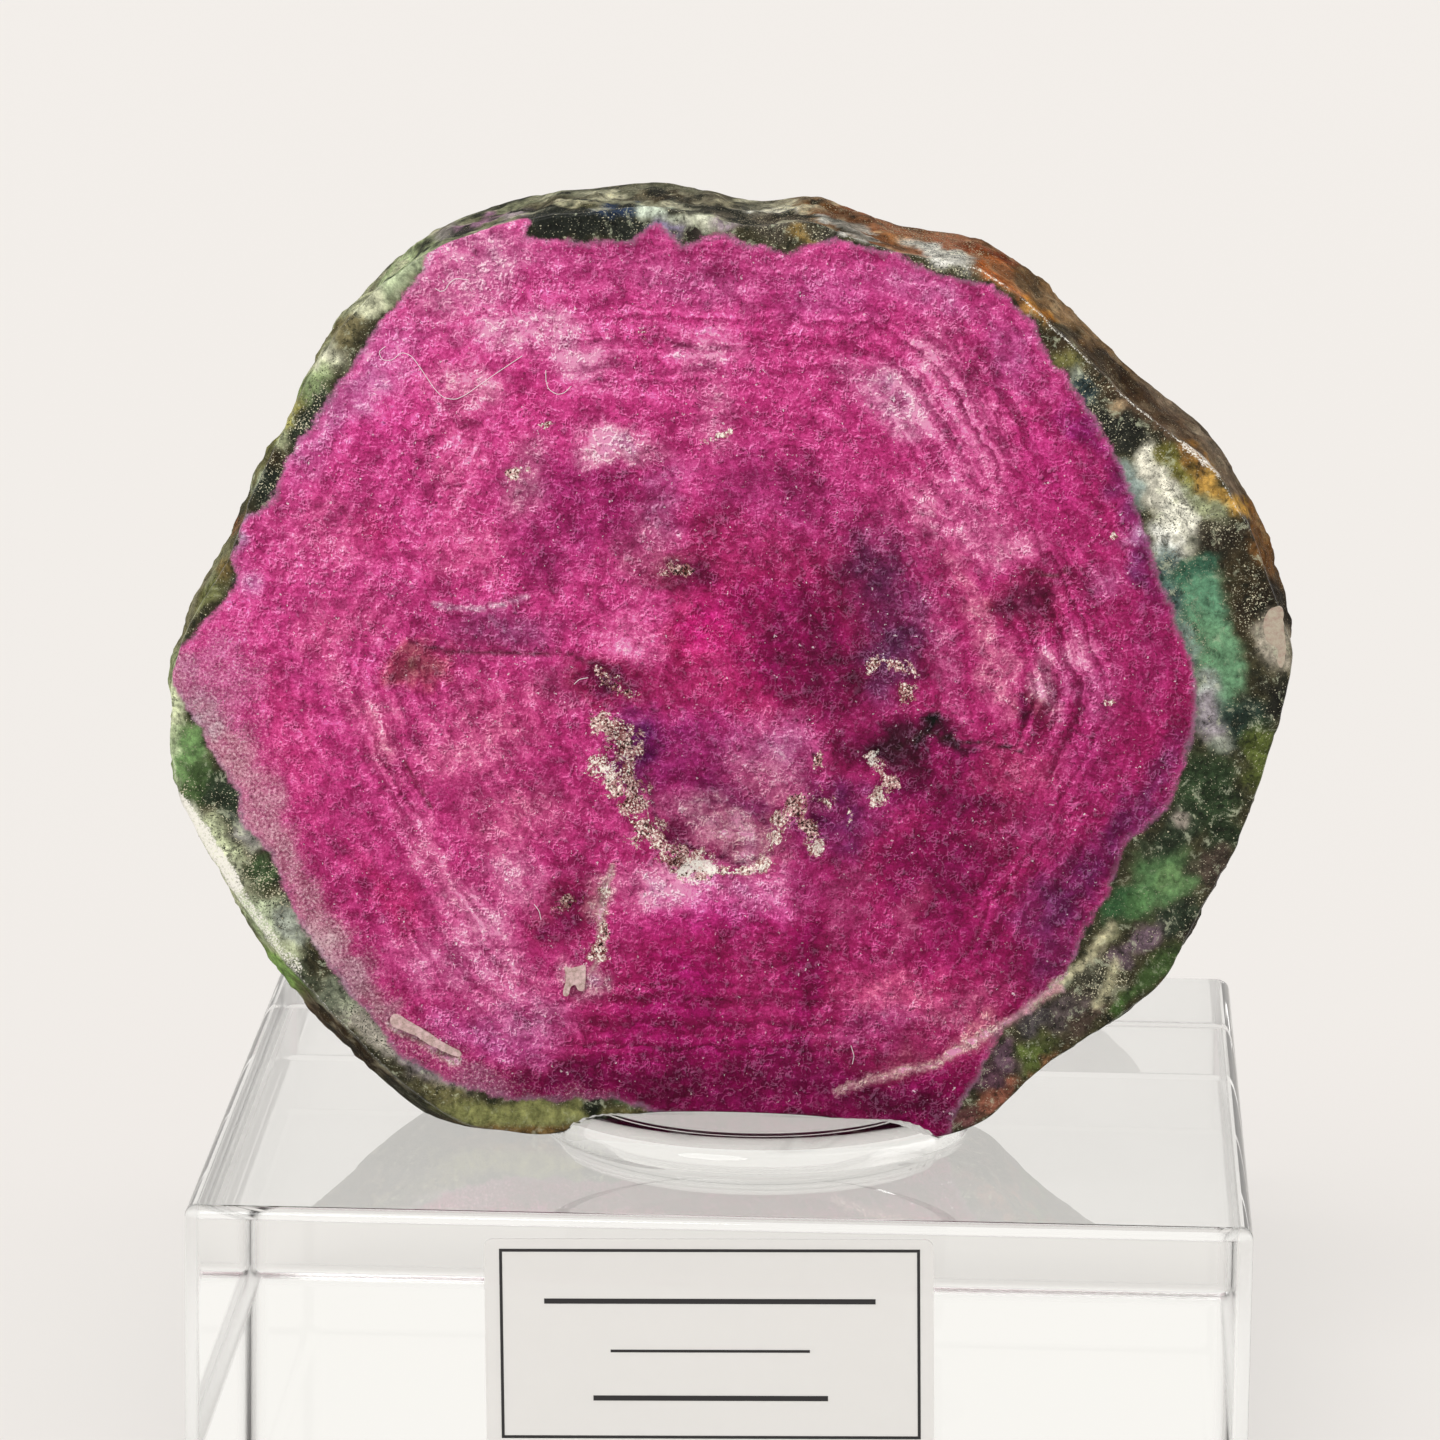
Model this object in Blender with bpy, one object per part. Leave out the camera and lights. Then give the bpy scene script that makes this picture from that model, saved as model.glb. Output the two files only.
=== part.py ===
# Polished slab of ruby in zoisite, standing on a clear gel pad on a clear acrylic block.
# Frame: origin at the centre of the block's base, +X right, +Y back, +Z up, metres.
# The slab's polished front face looks along -Y. The shape is worked out in millimetres.
import math

import bmesh
import bpy
from mathutils import Vector, noise
from mathutils.geometry import delaunay_2d_cdt

MM = 0.001

# acrylic block
BLOCK_WIDTH = 60.0
BLOCK_DEPTH = 60.0
BLOCK_HEIGHT = 15.0
BLOCK_CHAMFER = 0.9

# gap kept between a piece and what it rests on
REST_GAP = 0.3

# gel pad: a low round disc with a soft shoulder
PAD_CENTRE = (1.3, -7.7)
PAD_RADIUS = 12.5
PAD_SHOULDER = 3.2
PAD_TOP = BLOCK_HEIGHT + 1.9
PAD_SIDES = 64
PAD_SHOULDER_RINGS = 6

# the slab's foot is an arch between two lobes, which press the pad out of their way
ARCH_REACH = 10.0

# label film on the block's front face, a little askew
LABEL_SIZE = (25.2, 12.3)
LABEL_CENTRE = (-0.35, 7.7)
LABEL_THICKNESS = 0.15
LABEL_TURN = math.radians(1.2)
LABEL_CORNER = 0.4

# slab
SLAB_FRONT = -13.5
SLAB_THICKNESS = 10.0
SLAB_MIDDLE = (0.0, 43.0)
SLAB_LOWEST = BLOCK_HEIGHT + 0.35
WALL_STEPS = 168
EDGE_BEVEL = 0.25

# edge of the polished face, clockwise from the top as seen from the front:
# across from the block's middle, and up from the block's top
FACE_EDGE = [
    (-4.5, 54.6), (0.5, 53.7), (4.0, 53.9), (8.5, 52.4), (13.8, 51.3), (18.0, 48.1),
    (22.4, 43.9), (26.7, 40.6), (29.2, 36.9), (30.4, 33.8), (31.7, 30.4), (31.8, 28.3),
    (30.8, 24.1), (29.1, 18.7), (26.9, 14.2), (25.2, 10.6), (23.3, 8.7), (21.2, 7.1),
    (18.5, 5.2), (16.3, 3.1), (15.0, 1.8), (13.2, 0.9), (11.2, 0.5), (9.2, 0.8),
    (6.6, 1.5), (3.5, 1.75), (-1.5, 1.8), (-5.2, 1.6), (-7.7, 0.95), (-10.5, 0.4),
    (-13.0, 0.5), (-15.6, 0.9), (-18.9, 3.1), (-22.2, 6.3), (-25.6, 10.0), (-29.0, 14.6),
    (-31.3, 18.5), (-32.3, 21.5), (-32.4, 25.0), (-32.1, 28.0), (-30.8, 31.1), (-29.1, 33.9),
    (-27.6, 37.9), (-25.8, 41.8), (-23.8, 45.6), (-21.3, 49.0), (-18.5, 51.3), (-16.1, 52.6),
    (-12.3, 53.8), (-8.4, 54.3),
]

# how far the rough skin stands out past the face's edge, by direction from the slab's middle:
# degrees, then millimetres near the face, half way back and at the back face
SKIN = [
    (0, 0.10, 0.25, 0.10), (45, 0.15, 0.45, 0.30), (90, 0.05, 0.20, 0.05),
    (140, 0.10, 0.20, 0.00), (180, 0.15, 0.35, 0.20), (200, 0.35, 1.00, 0.70),
    (208, 0.40, 1.10, 0.80), (216, 0.75, 2.00, 1.60), (226, 0.80, 2.00, 1.40),
    (238, 0.60, 1.90, 1.30),
    (246, 0.20, 0.70, 0.40), (256, 0.00, 0.10, 0.00), (270, 0.00, 0.00, 0.00),
    (290, 0.00, 0.00, 0.00), (310, 0.15, 0.35, 0.20), (335, 0.10, 0.25, 0.15),
]
SKIN_DEPTHS = (0.15, 0.5, 1.0)

# depths through the slab, as shares of its thickness, at which the wall has a ring of points
WALL_RINGS = (0.15, 0.32, 0.5, 0.68, 0.85)

# the curved chip in the front face: middle and reach of its floor, deepest under its lower rim
CHIP_MIDDLE = (-0.7, 36.5)
CHIP_REACH = (5.4, 5.3)
CHIP_DEPTH = 0.9

# small hollows in the front face: across, up, half width, half height, depth
HOLLOWS = [
    (-6.9, 38.4, 1.0, 1.5, 0.45), (-2.8, 31.6, 1.2, 0.8, 0.45), (8.3, 36.9, 0.9, 1.5, 0.50),
    (-9.6, 28.9, 1.5, 1.2, 0.35), (-7.5, 27.6, 0.8, 2.2, 0.30), (-8.9, 24.4, 0.9, 1.1, 0.35),
    (-17.8, 21.0, 2.0, 0.8, 0.30), (4.6, 33.6, 1.0, 1.4, 0.45),
]


def remove_all_objects():
    for thing in list(bpy.data.objects):
        bpy.data.objects.remove(thing, do_unlink=True)


def make_material(name, colour, roughness, transmission=0.0, ior=1.5):
    material = bpy.data.materials.new(name)
    material.use_nodes = True
    surface = material.node_tree.nodes["Principled BSDF"]
    surface.inputs["Base Color"].default_value = (*colour, 1.0)
    surface.inputs["Metallic"].default_value = 0.0
    surface.inputs["Roughness"].default_value = roughness
    surface.inputs["Transmission Weight"].default_value = transmission
    surface.inputs["IOR"].default_value = ior
    return material


def object_from_bmesh(name, shape, material):
    bmesh.ops.recalc_face_normals(shape, faces=shape.faces)
    mesh = bpy.data.meshes.new(name)
    shape.to_mesh(mesh)
    shape.free()
    mesh.materials.append(material)
    thing = bpy.data.objects.new(name, mesh)
    bpy.context.scene.collection.objects.link(thing)
    return thing


def closed_curve(points, count):
    """Evenly spaced points along a smooth closed curve through the given ones."""
    fine = []
    total = len(points)
    for i in range(total):
        a, b, c, d = (Vector(points[(i + k - 1) % total]) for k in range(4))
        for step in range(12):
            t = step / 12
            fine.append(0.5 * (2 * b + (c - a) * t + (2 * a - 5 * b + 4 * c - d) * t ** 2
                               + (3 * b - a - 3 * c + d) * t ** 3))
    lengths = [0.0]
    for i in range(len(fine)):
        lengths.append(lengths[-1] + (fine[(i + 1) % len(fine)] - fine[i]).length)
    even = []
    place = 0
    for k in range(count):
        target = lengths[-1] * k / count
        while lengths[place + 1] < target:
            place += 1
        share = (target - lengths[place]) / (lengths[place + 1] - lengths[place])
        even.append(fine[place].lerp(fine[(place + 1) % len(fine)], share))
    return even


def outward_normals(points):
    """Unit normals of a clockwise closed line, pointing away from its inside."""
    count = len(points)
    normals = []
    for i in range(count):
        along = points[(i + 1) % count] - points[i - 1]
        normals.append(Vector((-along.y, along.x)).normalized())
    return normals


def skin_outset(point, depth):
    """How far the skin stands out past the face's edge at a share of the thickness."""
    angle = math.degrees(math.atan2(point.y - SLAB_MIDDLE[1], point.x - SLAB_MIDDLE[0])) % 360
    rows = SKIN + [(SKIN[0][0] + 360, *SKIN[0][1:])]
    for low, high in zip(rows, rows[1:]):
        if low[0] <= angle <= high[0]:
            break
    share = (angle - low[0]) / (high[0] - low[0])
    share = share * share * (3 - 2 * share)
    near, middle, back = (a + (b - a) * share for a, b in zip(low[1:], high[1:]))
    if depth <= SKIN_DEPTHS[0]:
        return near * depth / SKIN_DEPTHS[0]
    if depth <= SKIN_DEPTHS[1]:
        return near + (middle - near) * (depth - SKIN_DEPTHS[0]) / (SKIN_DEPTHS[1] - SKIN_DEPTHS[0])
    return middle + (back - middle) * (depth - SKIN_DEPTHS[1]) / (SKIN_DEPTHS[2] - SKIN_DEPTHS[1])


def skin_lump(point, depth):
    """Lumps, ledges and pits of the natural skin, nothing where the slab meets the pad."""
    place = Vector((point.x, depth * SLAB_THICKNESS, point.y))
    lumps = 0.30 * noise.noise(place / 4.0) + 0.22 * noise.noise(place / 1.8)
    ledges = 0.20 * math.copysign(1.0, noise.noise(place / 3.0 + Vector((7, 3, 1))))
    fade = min(1.0, max(0.0, (point.y - BLOCK_HEIGHT - 2.4) / 3.0))
    middle = math.sin(math.pi * min(1.0, max(0.0, depth))) ** 0.5
    return (lumps + ledges - 0.1) * fade * middle


def wall_ring(points, normals, depth):
    ring = []
    for point, normal in zip(points, normals):
        moved = point + normal * (skin_outset(point, depth) + skin_lump(point, depth))
        moved.y = max(moved.y, SLAB_LOWEST)
        ring.append(moved)
    return ring


def dip(across, up, reach_across, reach_up):
    """1 in the middle of a round hollow, 0 past its reach."""
    far = math.hypot(across / reach_across, up / reach_up)
    return 0.0 if far >= 1 else (1 - far * far) ** 1.5


def front_depth(across, up):
    """Depth of the hollows below the polished front face."""
    u = (across - CHIP_MIDDLE[0]) / CHIP_REACH[0]
    v = (up - CHIP_MIDDLE[1]) / CHIP_REACH[1]
    far = math.hypot(u, v)
    chip = 0.0
    if far < 1.0:
        # steep at the lower rim, running out level at the top
        rim = min(1.0, (1.0 - far) / 0.22)
        chip = CHIP_DEPTH * rim * min(1.0, max(0.0, (1.0 - v) / 1.3))
    small = sum(depth * dip(across - x, up - z, w, h) for x, z, w, h, depth in HOLLOWS)
    return max(chip, min(small, CHIP_DEPTH))


def inner_points(edge, spacing, left, right, low, high, clearance):
    """Points of a staggered grid that lie inside a closed line, clear of it."""
    found = []
    rows = int((high - low) / spacing) + 1
    columns = int((right - left) / spacing) + 1
    for row in range(rows):
        for column in range(columns):
            point = Vector((left + (column + 0.5 * (row % 2)) * spacing, low + row * spacing))
            inside = False
            nearest = 1e9
            for a, b in zip(edge, edge[1:] + edge[:1]):
                nearest = min(nearest, (a - point).length)
                if (a.y > point.y) != (b.y > point.y):
                    crossing = a.x + (point.y - a.y) * (b.x - a.x) / (b.y - a.y)
                    inside ^= point.x < crossing
            if inside and nearest > clearance:
                found.append(point)
    return found


def add_face(shape, ring_vertices, ring, points, height):
    """Fill a closed ring with triangles through extra points, and give each its depth."""
    flat = list(ring) + points
    count = len(ring)
    found, _, triangles, origins, _, _ = delaunay_2d_cdt(
        flat, [], [list(range(count))], 1, 1e-5)
    made = []
    for index, place in enumerate(found):
        source = origins[index][0] if origins[index] else None
        if source is not None and source < count:
            made.append(ring_vertices[source])
        else:
            made.append(shape.verts.new((place.x, height(place.x, place.y), place.y)))
    for triangle in triangles:
        shape.faces.new([made[i] for i in triangle])


def slab_edge():
    return closed_curve([Vector((x, BLOCK_HEIGHT + z)) for x, z in FACE_EDGE], WALL_STEPS)


def make_slab():
    edge = slab_edge()
    normals = outward_normals(edge)
    back = SLAB_FRONT + SLAB_THICKNESS

    front_ring = [p - n * EDGE_BEVEL for p, n in zip(edge, normals)]
    back_outer = wall_ring(edge, normals, 1.0)
    back_ring = [p - n * EDGE_BEVEL * 2 for p, n in zip(back_outer, normals)]
    rings = [(front_ring, SLAB_FRONT), (edge, SLAB_FRONT + EDGE_BEVEL)]
    for depth in WALL_RINGS:
        rings.append((wall_ring(edge, normals, depth), SLAB_FRONT + depth * SLAB_THICKNESS))
    rings.append((back_outer, back - EDGE_BEVEL * 2))
    rings.append((back_ring, back))

    shape = bmesh.new()
    levels = [[shape.verts.new((p.x, depth, p.y)) for p in ring] for ring, depth in rings]
    for near, far in zip(levels, levels[1:]):
        for i in range(WALL_STEPS):
            j = (i + 1) % WALL_STEPS
            shape.faces.new([near[i], near[j], far[j], far[i]])

    coarse = inner_points(front_ring, 5.0, -35, 35, 12, 72, 2.4)
    fine = inner_points(front_ring, 0.85, -11.5, 9.5, 22.5, 42.5, 1.0)
    fine += inner_points(front_ring, 0.8, -20.0, -15.5, 19.8, 22.2, 0.8)
    fine_area = ((-12.5, 10.5, 21.5, 43.5), (-21.0, -14.5, 18.8, 23.2))
    coarse = [p for p in coarse
              if not any(a < p.x < b and c < p.y < d for a, b, c, d in fine_area)]
    add_face(shape, levels[0], front_ring, coarse + fine,
             lambda x, z: SLAB_FRONT + front_depth(x, z))
    add_face(shape, levels[-1], back_ring, inner_points(back_ring, 6.0, -35, 35, 12, 72, 3.0),
             lambda x, z: back)
    bmesh.ops.triangulate(shape, faces=[f for f in shape.faces if len(f.verts) > 3])
    bmesh.ops.scale(shape, vec=(MM, MM, MM), verts=shape.verts)
    stone = make_material("ruby_in_zoisite", (0.47, 0.06, 0.26), 0.25)
    slab = object_from_bmesh("ruby_zoisite_slab", shape, stone)
    slab.data.set_sharp_from_angle(angle=math.radians(35))
    return slab


def make_pad():
    """A turned disc, with the space under the slab's foot cut out of it."""
    base = BLOCK_HEIGHT + REST_GAP
    profile = [(PAD_RADIUS, base)]
    for step in range(PAD_SHOULDER_RINGS + 1):
        turn = math.radians(90) * step / PAD_SHOULDER_RINGS
        profile.append((PAD_RADIUS - 0.15 - PAD_SHOULDER * (1 - math.cos(turn)),
                        base + 0.25 + (PAD_TOP - base - 0.25) * math.sin(turn)))
    shape = bmesh.new()
    rings = []
    for radius, up in profile:
        ring = []
        for side in range(PAD_SIDES):
            turn = 2 * math.pi * side / PAD_SIDES
            ring.append(shape.verts.new((PAD_CENTRE[0] + radius * math.cos(turn),
                                         PAD_CENTRE[1] + radius * math.sin(turn), up)))
        rings.append(ring)
    for low, high in zip(rings, rings[1:]):
        for i in range(PAD_SIDES):
            j = (i + 1) % PAD_SIDES
            shape.faces.new([low[i], low[j], high[j], high[i]])
    shape.faces.new(rings[0])
    shape.faces.new(rings[-1])
    bmesh.ops.scale(shape, vec=(MM, MM, MM), verts=shape.verts)
    gel = make_material("clear_gel", (0.95, 0.95, 0.94), 0.05, 1.0, 1.41)
    pad = object_from_bmesh("gel_pad", shape, gel)
    cut = pad.modifiers.new("foot_space", "BOOLEAN")
    cut.operation = "DIFFERENCE"
    cut.solver = "EXACT"
    cut.object = make_foot_space()
    return pad


def make_foot_space():
    """Cutter for the dent that the slab's foot leaves in the pad, open below its two lobes."""
    pad_base = BLOCK_HEIGHT + REST_GAP
    foot = [p for p in slab_edge() if abs(p.x) < 16 and p.y < BLOCK_HEIGHT + 4]
    outline = []
    for point in sorted(foot, key=lambda p: p.x):
        under = point.y - REST_GAP
        solid_below = abs(point.x) < ARCH_REACH and under > pad_base + 0.2
        outline.append((point.x, under if solid_below else BLOCK_HEIGHT - 1))
    outline += [(16.0, BLOCK_HEIGHT + 6), (-16.0, BLOCK_HEIGHT + 6)]
    shape = bmesh.new()
    sheets = []
    for depth in (SLAB_FRONT - REST_GAP, SLAB_FRONT + SLAB_THICKNESS + REST_GAP):
        sheets.append([shape.verts.new((x, depth, up)) for x, up in outline])
    for i in range(len(outline)):
        j = (i + 1) % len(outline)
        shape.faces.new([sheets[0][i], sheets[0][j], sheets[1][j], sheets[1][i]])
    shape.faces.new(sheets[0])
    shape.faces.new(sheets[1])
    bmesh.ops.scale(shape, vec=(MM, MM, MM), verts=shape.verts)
    space = object_from_bmesh("foot_space", shape, make_material("cutter", (0.5, 0.5, 0.5), 0.5))
    space.hide_render = True
    space.display_type = "WIRE"
    return space


def make_block():
    shape = bmesh.new()
    bmesh.ops.create_cube(shape, size=1.0)
    bmesh.ops.scale(shape, vec=(BLOCK_WIDTH * MM, BLOCK_DEPTH * MM, BLOCK_HEIGHT * MM),
                    verts=shape.verts)
    bmesh.ops.translate(shape, vec=(0, 0, BLOCK_HEIGHT * MM / 2), verts=shape.verts)
    acrylic = make_material("clear_acrylic", (0.97, 0.98, 0.97), 0.02, 1.0, 1.49)
    block = object_from_bmesh("acrylic_block", shape, acrylic)
    chamfer = block.modifiers.new("polished_edges", "BEVEL")
    chamfer.width = BLOCK_CHAMFER * MM
    chamfer.segments = 3
    chamfer.limit_method = "NONE"
    return block


def make_label():
    """Thin clear film with rounded corners, stuck to the block's front."""
    half_width, half_height = LABEL_SIZE[0] / 2, LABEL_SIZE[1] / 2
    outline = []
    for corner in range(4):
        sign_x, sign_z = ((1, 1), (-1, 1), (-1, -1), (1, -1))[corner]
        for step in range(5):
            turn = math.radians(90 * corner + 22.5 * step)
            outline.append((sign_x * (half_width - LABEL_CORNER) + LABEL_CORNER * math.cos(turn),
                            sign_z * (half_height - LABEL_CORNER) + LABEL_CORNER * math.sin(turn)))
    back = -BLOCK_DEPTH / 2 - REST_GAP
    front = back - LABEL_THICKNESS
    cosine, sine = math.cos(LABEL_TURN), math.sin(LABEL_TURN)
    shape = bmesh.new()
    sheets = []
    for depth in (front, back):
        sheets.append([shape.verts.new((LABEL_CENTRE[0] + x * cosine - z * sine, depth,
                                        LABEL_CENTRE[1] + x * sine + z * cosine))
                       for x, z in outline])
    count = len(outline)
    for i in range(count):
        j = (i + 1) % count
        shape.faces.new([sheets[0][i], sheets[0][j], sheets[1][j], sheets[1][i]])
    shape.faces.new(sheets[0])
    shape.faces.new(sheets[1])
    bmesh.ops.scale(shape, vec=(MM, MM, MM), verts=shape.verts)
    film = make_material("clear_film", (0.93, 0.93, 0.92), 0.2, 0.6, 1.5)
    return object_from_bmesh("label_film", shape, film)


remove_all_objects()
make_block()
make_pad()
make_slab()
make_label()
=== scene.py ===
# Looks of a polished slab of ruby in zoisite, standing on a clear pad on a clear block.
# Sizes here are in millimetres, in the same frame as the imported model, and become metres in the meshes.
import math

import bmesh
import bpy
import numpy as np
from mathutils import Matrix, Vector
from mathutils.geometry import delaunay_2d_cdt


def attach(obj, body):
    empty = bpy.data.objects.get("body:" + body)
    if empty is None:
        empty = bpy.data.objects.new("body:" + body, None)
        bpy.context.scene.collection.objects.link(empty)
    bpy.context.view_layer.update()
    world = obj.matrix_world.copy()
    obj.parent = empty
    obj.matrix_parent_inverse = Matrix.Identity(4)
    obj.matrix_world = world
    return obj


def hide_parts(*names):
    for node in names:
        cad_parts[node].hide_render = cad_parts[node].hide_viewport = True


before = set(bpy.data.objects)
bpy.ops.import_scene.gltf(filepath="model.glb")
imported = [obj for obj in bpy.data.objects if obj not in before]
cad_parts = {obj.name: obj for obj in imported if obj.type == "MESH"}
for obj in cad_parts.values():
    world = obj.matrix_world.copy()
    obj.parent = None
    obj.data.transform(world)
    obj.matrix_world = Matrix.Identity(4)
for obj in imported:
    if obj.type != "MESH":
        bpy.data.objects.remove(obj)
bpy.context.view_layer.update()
mm = 0.001

# helpers that every piece uses


def linear(hexColour):  # sRGB hex to linear values
    parts = [int(hexColour[i:i + 2], 16) / 255 for i in (0, 2, 4)]
    return tuple(p / 12.92 if p <= 0.04045 else ((p + 0.055) / 1.055) ** 2.4 for p in parts)


def linearOf(array):  # the same for an array of sRGB values from 0 to 1
    array = np.clip(array, 0, 1)
    return np.where(array <= 0.04045, array / 12.92, ((array + 0.055) / 1.055) ** 2.4)


def tone(hexColour):  # sRGB hex to an array from 0 to 1
    return np.array([int(hexColour[i:i + 2], 16) / 255 for i in (0, 2, 4)])


def addNode(tree, kind, inputs=None, **settings):  # a node with its settings, values and links
    item = tree.nodes.new(kind)
    for name, value in settings.items():
        setattr(item, name, value)
    for socket, value in (inputs or {}).items():
        if isinstance(value, bpy.types.NodeSocket):
            tree.links.new(value, item.inputs[socket])
        else:
            item.inputs[socket].default_value = value
    return item


def newMaterial(name, values):
    material = bpy.data.materials.new(name)
    material.use_nodes = True
    surface = material.node_tree.nodes["Principled BSDF"]
    for socket, value in values.items():
        surface.inputs[socket].default_value = value
    return material, material.node_tree, surface


def newPiece(name, mesh, material, slot, *replaced):  # links a mesh whose place is in its vertices
    piece = bpy.data.objects.new(name, mesh)
    bpy.context.scene.collection.objects.link(piece)
    mesh.materials.clear()
    mesh.materials.append(material)
    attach(piece, "root")
    if replaced:
        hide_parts(*replaced)
    print("made", name, len(mesh.polygons), "faces")
    return piece


def softNoise(points, grain, seed=0):  # smooth random field from about -1 to 1, lumps as wide as grain
    place = points / grain + 31.7 * (seed + 1)
    cell = np.floor(place).astype(np.int64)
    part = place - cell
    ease = part * part * (3 - 2 * part)
    total = np.zeros(len(points))
    for corner in range(8):
        step = np.array([corner & 1, corner >> 1 & 1, corner >> 2 & 1])
        at = cell + step
        mixed = (at[:, 0] * 374761393 + at[:, 1] * 668265263 + at[:, 2] * 2246822519) & 0xffffffff
        mixed = ((mixed ^ (mixed >> 13)) * 1274126177) & 0xffffffff
        value = (mixed ^ (mixed >> 16)) / 0xffffffff * 2 - 1
        total += np.prod(np.where(step == 1, ease, 1 - ease), axis=1) * value
    return total


def smooth(value):  # eases 0 to 1
    value = np.clip(value, 0, 1)
    return value * value * (3 - 2 * value)


def lineDistance(points, line, closed=False):  # distance of flat points from a line of points
    line = np.asarray(line, float)
    ends = np.roll(line, -1, axis=0) if closed else line[1:]
    starts = line if closed else line[:-1]
    nearest = np.full(len(points), 1e9)
    for a, b in zip(starts, ends):
        along = b - a
        share = np.clip(((points - a) @ along) / max(along @ along, 1e-12), 0, 1)
        nearest = np.minimum(nearest, np.hypot(*(points - a - share[:, None] * along).T))
    return nearest


def insideShape(points, shape):  # which flat points lie inside a closed line
    shape = np.asarray(shape, float)
    inside = np.zeros(len(points), bool)
    for a, b in zip(shape, np.roll(shape, -1, axis=0)):
        if a[1] != b[1]:
            crosses = (a[1] > points[:, 1]) != (b[1] > points[:, 1])
            inside ^= crosses & (points[:, 0] < a[0] + (points[:, 1] - a[1]) * (b[0] - a[0]) / (b[1] - a[1]))
    return inside


def signedDistance(points, shape):  # positive inside a closed line
    far = lineDistance(points, shape, closed=True)
    return np.where(insideShape(points, shape), far, -far)


def closedCurve(points, count):  # evenly spaced points on a smooth closed curve through the given ones
    points = np.asarray(points, float)
    a, b, c, d = (np.roll(points, 1 - k, axis=0) for k in range(4))
    steps = np.arange(0, 1, 1 / 16)[:, None, None]
    fine = 0.5 * (2 * b + (c - a) * steps + (2 * a - 5 * b + 4 * c - d) * steps ** 2
                  + (3 * b - a - 3 * c + d) * steps ** 3)
    fine = fine.transpose(1, 0, 2).reshape(-1, 2)
    fine = np.vstack([fine, fine[:1]])
    lengths = np.concatenate([[0], np.cumsum(np.hypot(*np.diff(fine, axis=0).T))])
    at = np.arange(count) * lengths[-1] / count
    return np.stack([np.interp(at, lengths, fine[:, k]) for k in (0, 1)], axis=1)


# the camera stands far off with a long lens, a little above the stone

view = {
    "place": (15.8, -455.7, 133.0),
    "down": 11.86,  # degrees below level
    "turn": -2.15,  # degrees, to the left of straight on is positive
    "roll": 0.7,
    "lens": 197.1,  # on a 36 mm sensor
}
camera = bpy.data.objects.new("camera", bpy.data.cameras.new("camera"))
bpy.context.scene.collection.objects.link(camera)
camera.data.lens = view["lens"]
camera.data.sensor_width = 36.0
camera.data.clip_start = 0.01
camera.data.clip_end = 20.0
camera.matrix_world = (
    Matrix.Translation(Vector(view["place"]) * mm)
    @ Matrix.Rotation(math.radians(-view["turn"]), 4, "Z")
    @ Matrix.Rotation(math.radians(90 - view["down"]), 4, "X")
    @ Matrix.Rotation(math.radians(view["roll"]), 4, "Z")
)
bpy.context.scene.camera = camera
print("camera set")

# the slab, millimetres

slab = {
    "front": -13.5,
    "thickness": 10.0,
    "middle": (0.0, 43.0),
    "blockTop": 15.0,
    "reach": ((-32.98, 15.12), (32.2, 70.02)),
    "edgePoints": 760,  # round the slab
    "faceGrain": 0.27,  # spacing of the front face's points
    "backGrain": 0.8,
    "wallRings": 30,
    "bevel": 0.22,
    "seat": 2.0,  # height above the block up to which the edge is plain, then the height it roughens over
    "seatEase": 3.0,
    "lumps": ((0.28, 4.2, 1), (0.20, 1.9, 2), (0.14, 0.8, 3), (0.10, 0.4, 4)),  # height, width, seed
    "ledges": 0.14,
    "sunk": 0.12,  # how far the skin lies in, so that its lumps stay near its line
    "chipDepth": 0.9,
    "chipTop": 41.5,  # the chip starts here and gets deeper over its run, downward
    "chipRun": 8.5,
    "chipWall": 0.55,
}

# edge of the polished face, clockwise from the top: across, and up from the block's top
faceEdge = [
    (-4.5, 54.6), (0.5, 53.7), (4.0, 53.9), (8.5, 52.4), (13.8, 51.3), (18.0, 48.1),
    (22.4, 43.9), (26.7, 40.6), (29.2, 36.9), (30.4, 33.8), (31.7, 30.4), (31.8, 28.3),
    (30.8, 24.1), (29.1, 18.7), (26.9, 14.2), (25.2, 10.6), (23.3, 8.7), (21.2, 7.1),
    (18.5, 5.2), (16.3, 3.1), (15.0, 1.8), (13.2, 0.9), (11.2, 0.5), (9.2, 0.8),
    (6.6, 1.5), (3.5, 1.75), (-1.5, 1.8), (-5.2, 1.6), (-7.7, 0.95), (-10.5, 0.25),
    (-13.0, 0.4), (-15.6, 0.9), (-18.9, 3.1), (-22.2, 6.3), (-25.6, 10.0), (-29.0, 14.6),
    (-31.3, 18.5), (-32.3, 21.5), (-32.4, 25.0), (-32.1, 28.0), (-30.8, 31.1), (-29.1, 33.9),
    (-27.6, 37.9), (-25.8, 41.8), (-23.8, 45.6), (-21.3, 49.0), (-18.5, 51.3), (-16.1, 52.6),
    (-12.3, 53.8), (-8.4, 54.3),
]

# how far the rough skin stands out past the face's edge, by direction from the middle:
# degrees, then near the face, half way back and at the back
skinOut = [
    (0, 0.10, 0.25, 0.10), (45, 0.15, 0.45, 0.30), (90, 0.05, 0.20, 0.05),
    (140, 0.10, 0.20, 0.00), (180, 0.15, 0.35, 0.20), (200, 0.35, 1.00, 0.70),
    (208, 0.40, 1.10, 0.80), (216, 0.75, 2.00, 1.60), (226, 0.80, 2.00, 1.40),
    (238, 0.60, 1.90, 1.30), (246, 0.20, 0.70, 0.40), (256, 0.00, 0.10, 0.00),
    (270, 0.00, 0.00, 0.00), (290, 0.00, 0.00, 0.00), (310, 0.15, 0.35, 0.20),
    (335, 0.10, 0.25, 0.15), (360, 0.10, 0.25, 0.10),
]

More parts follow.
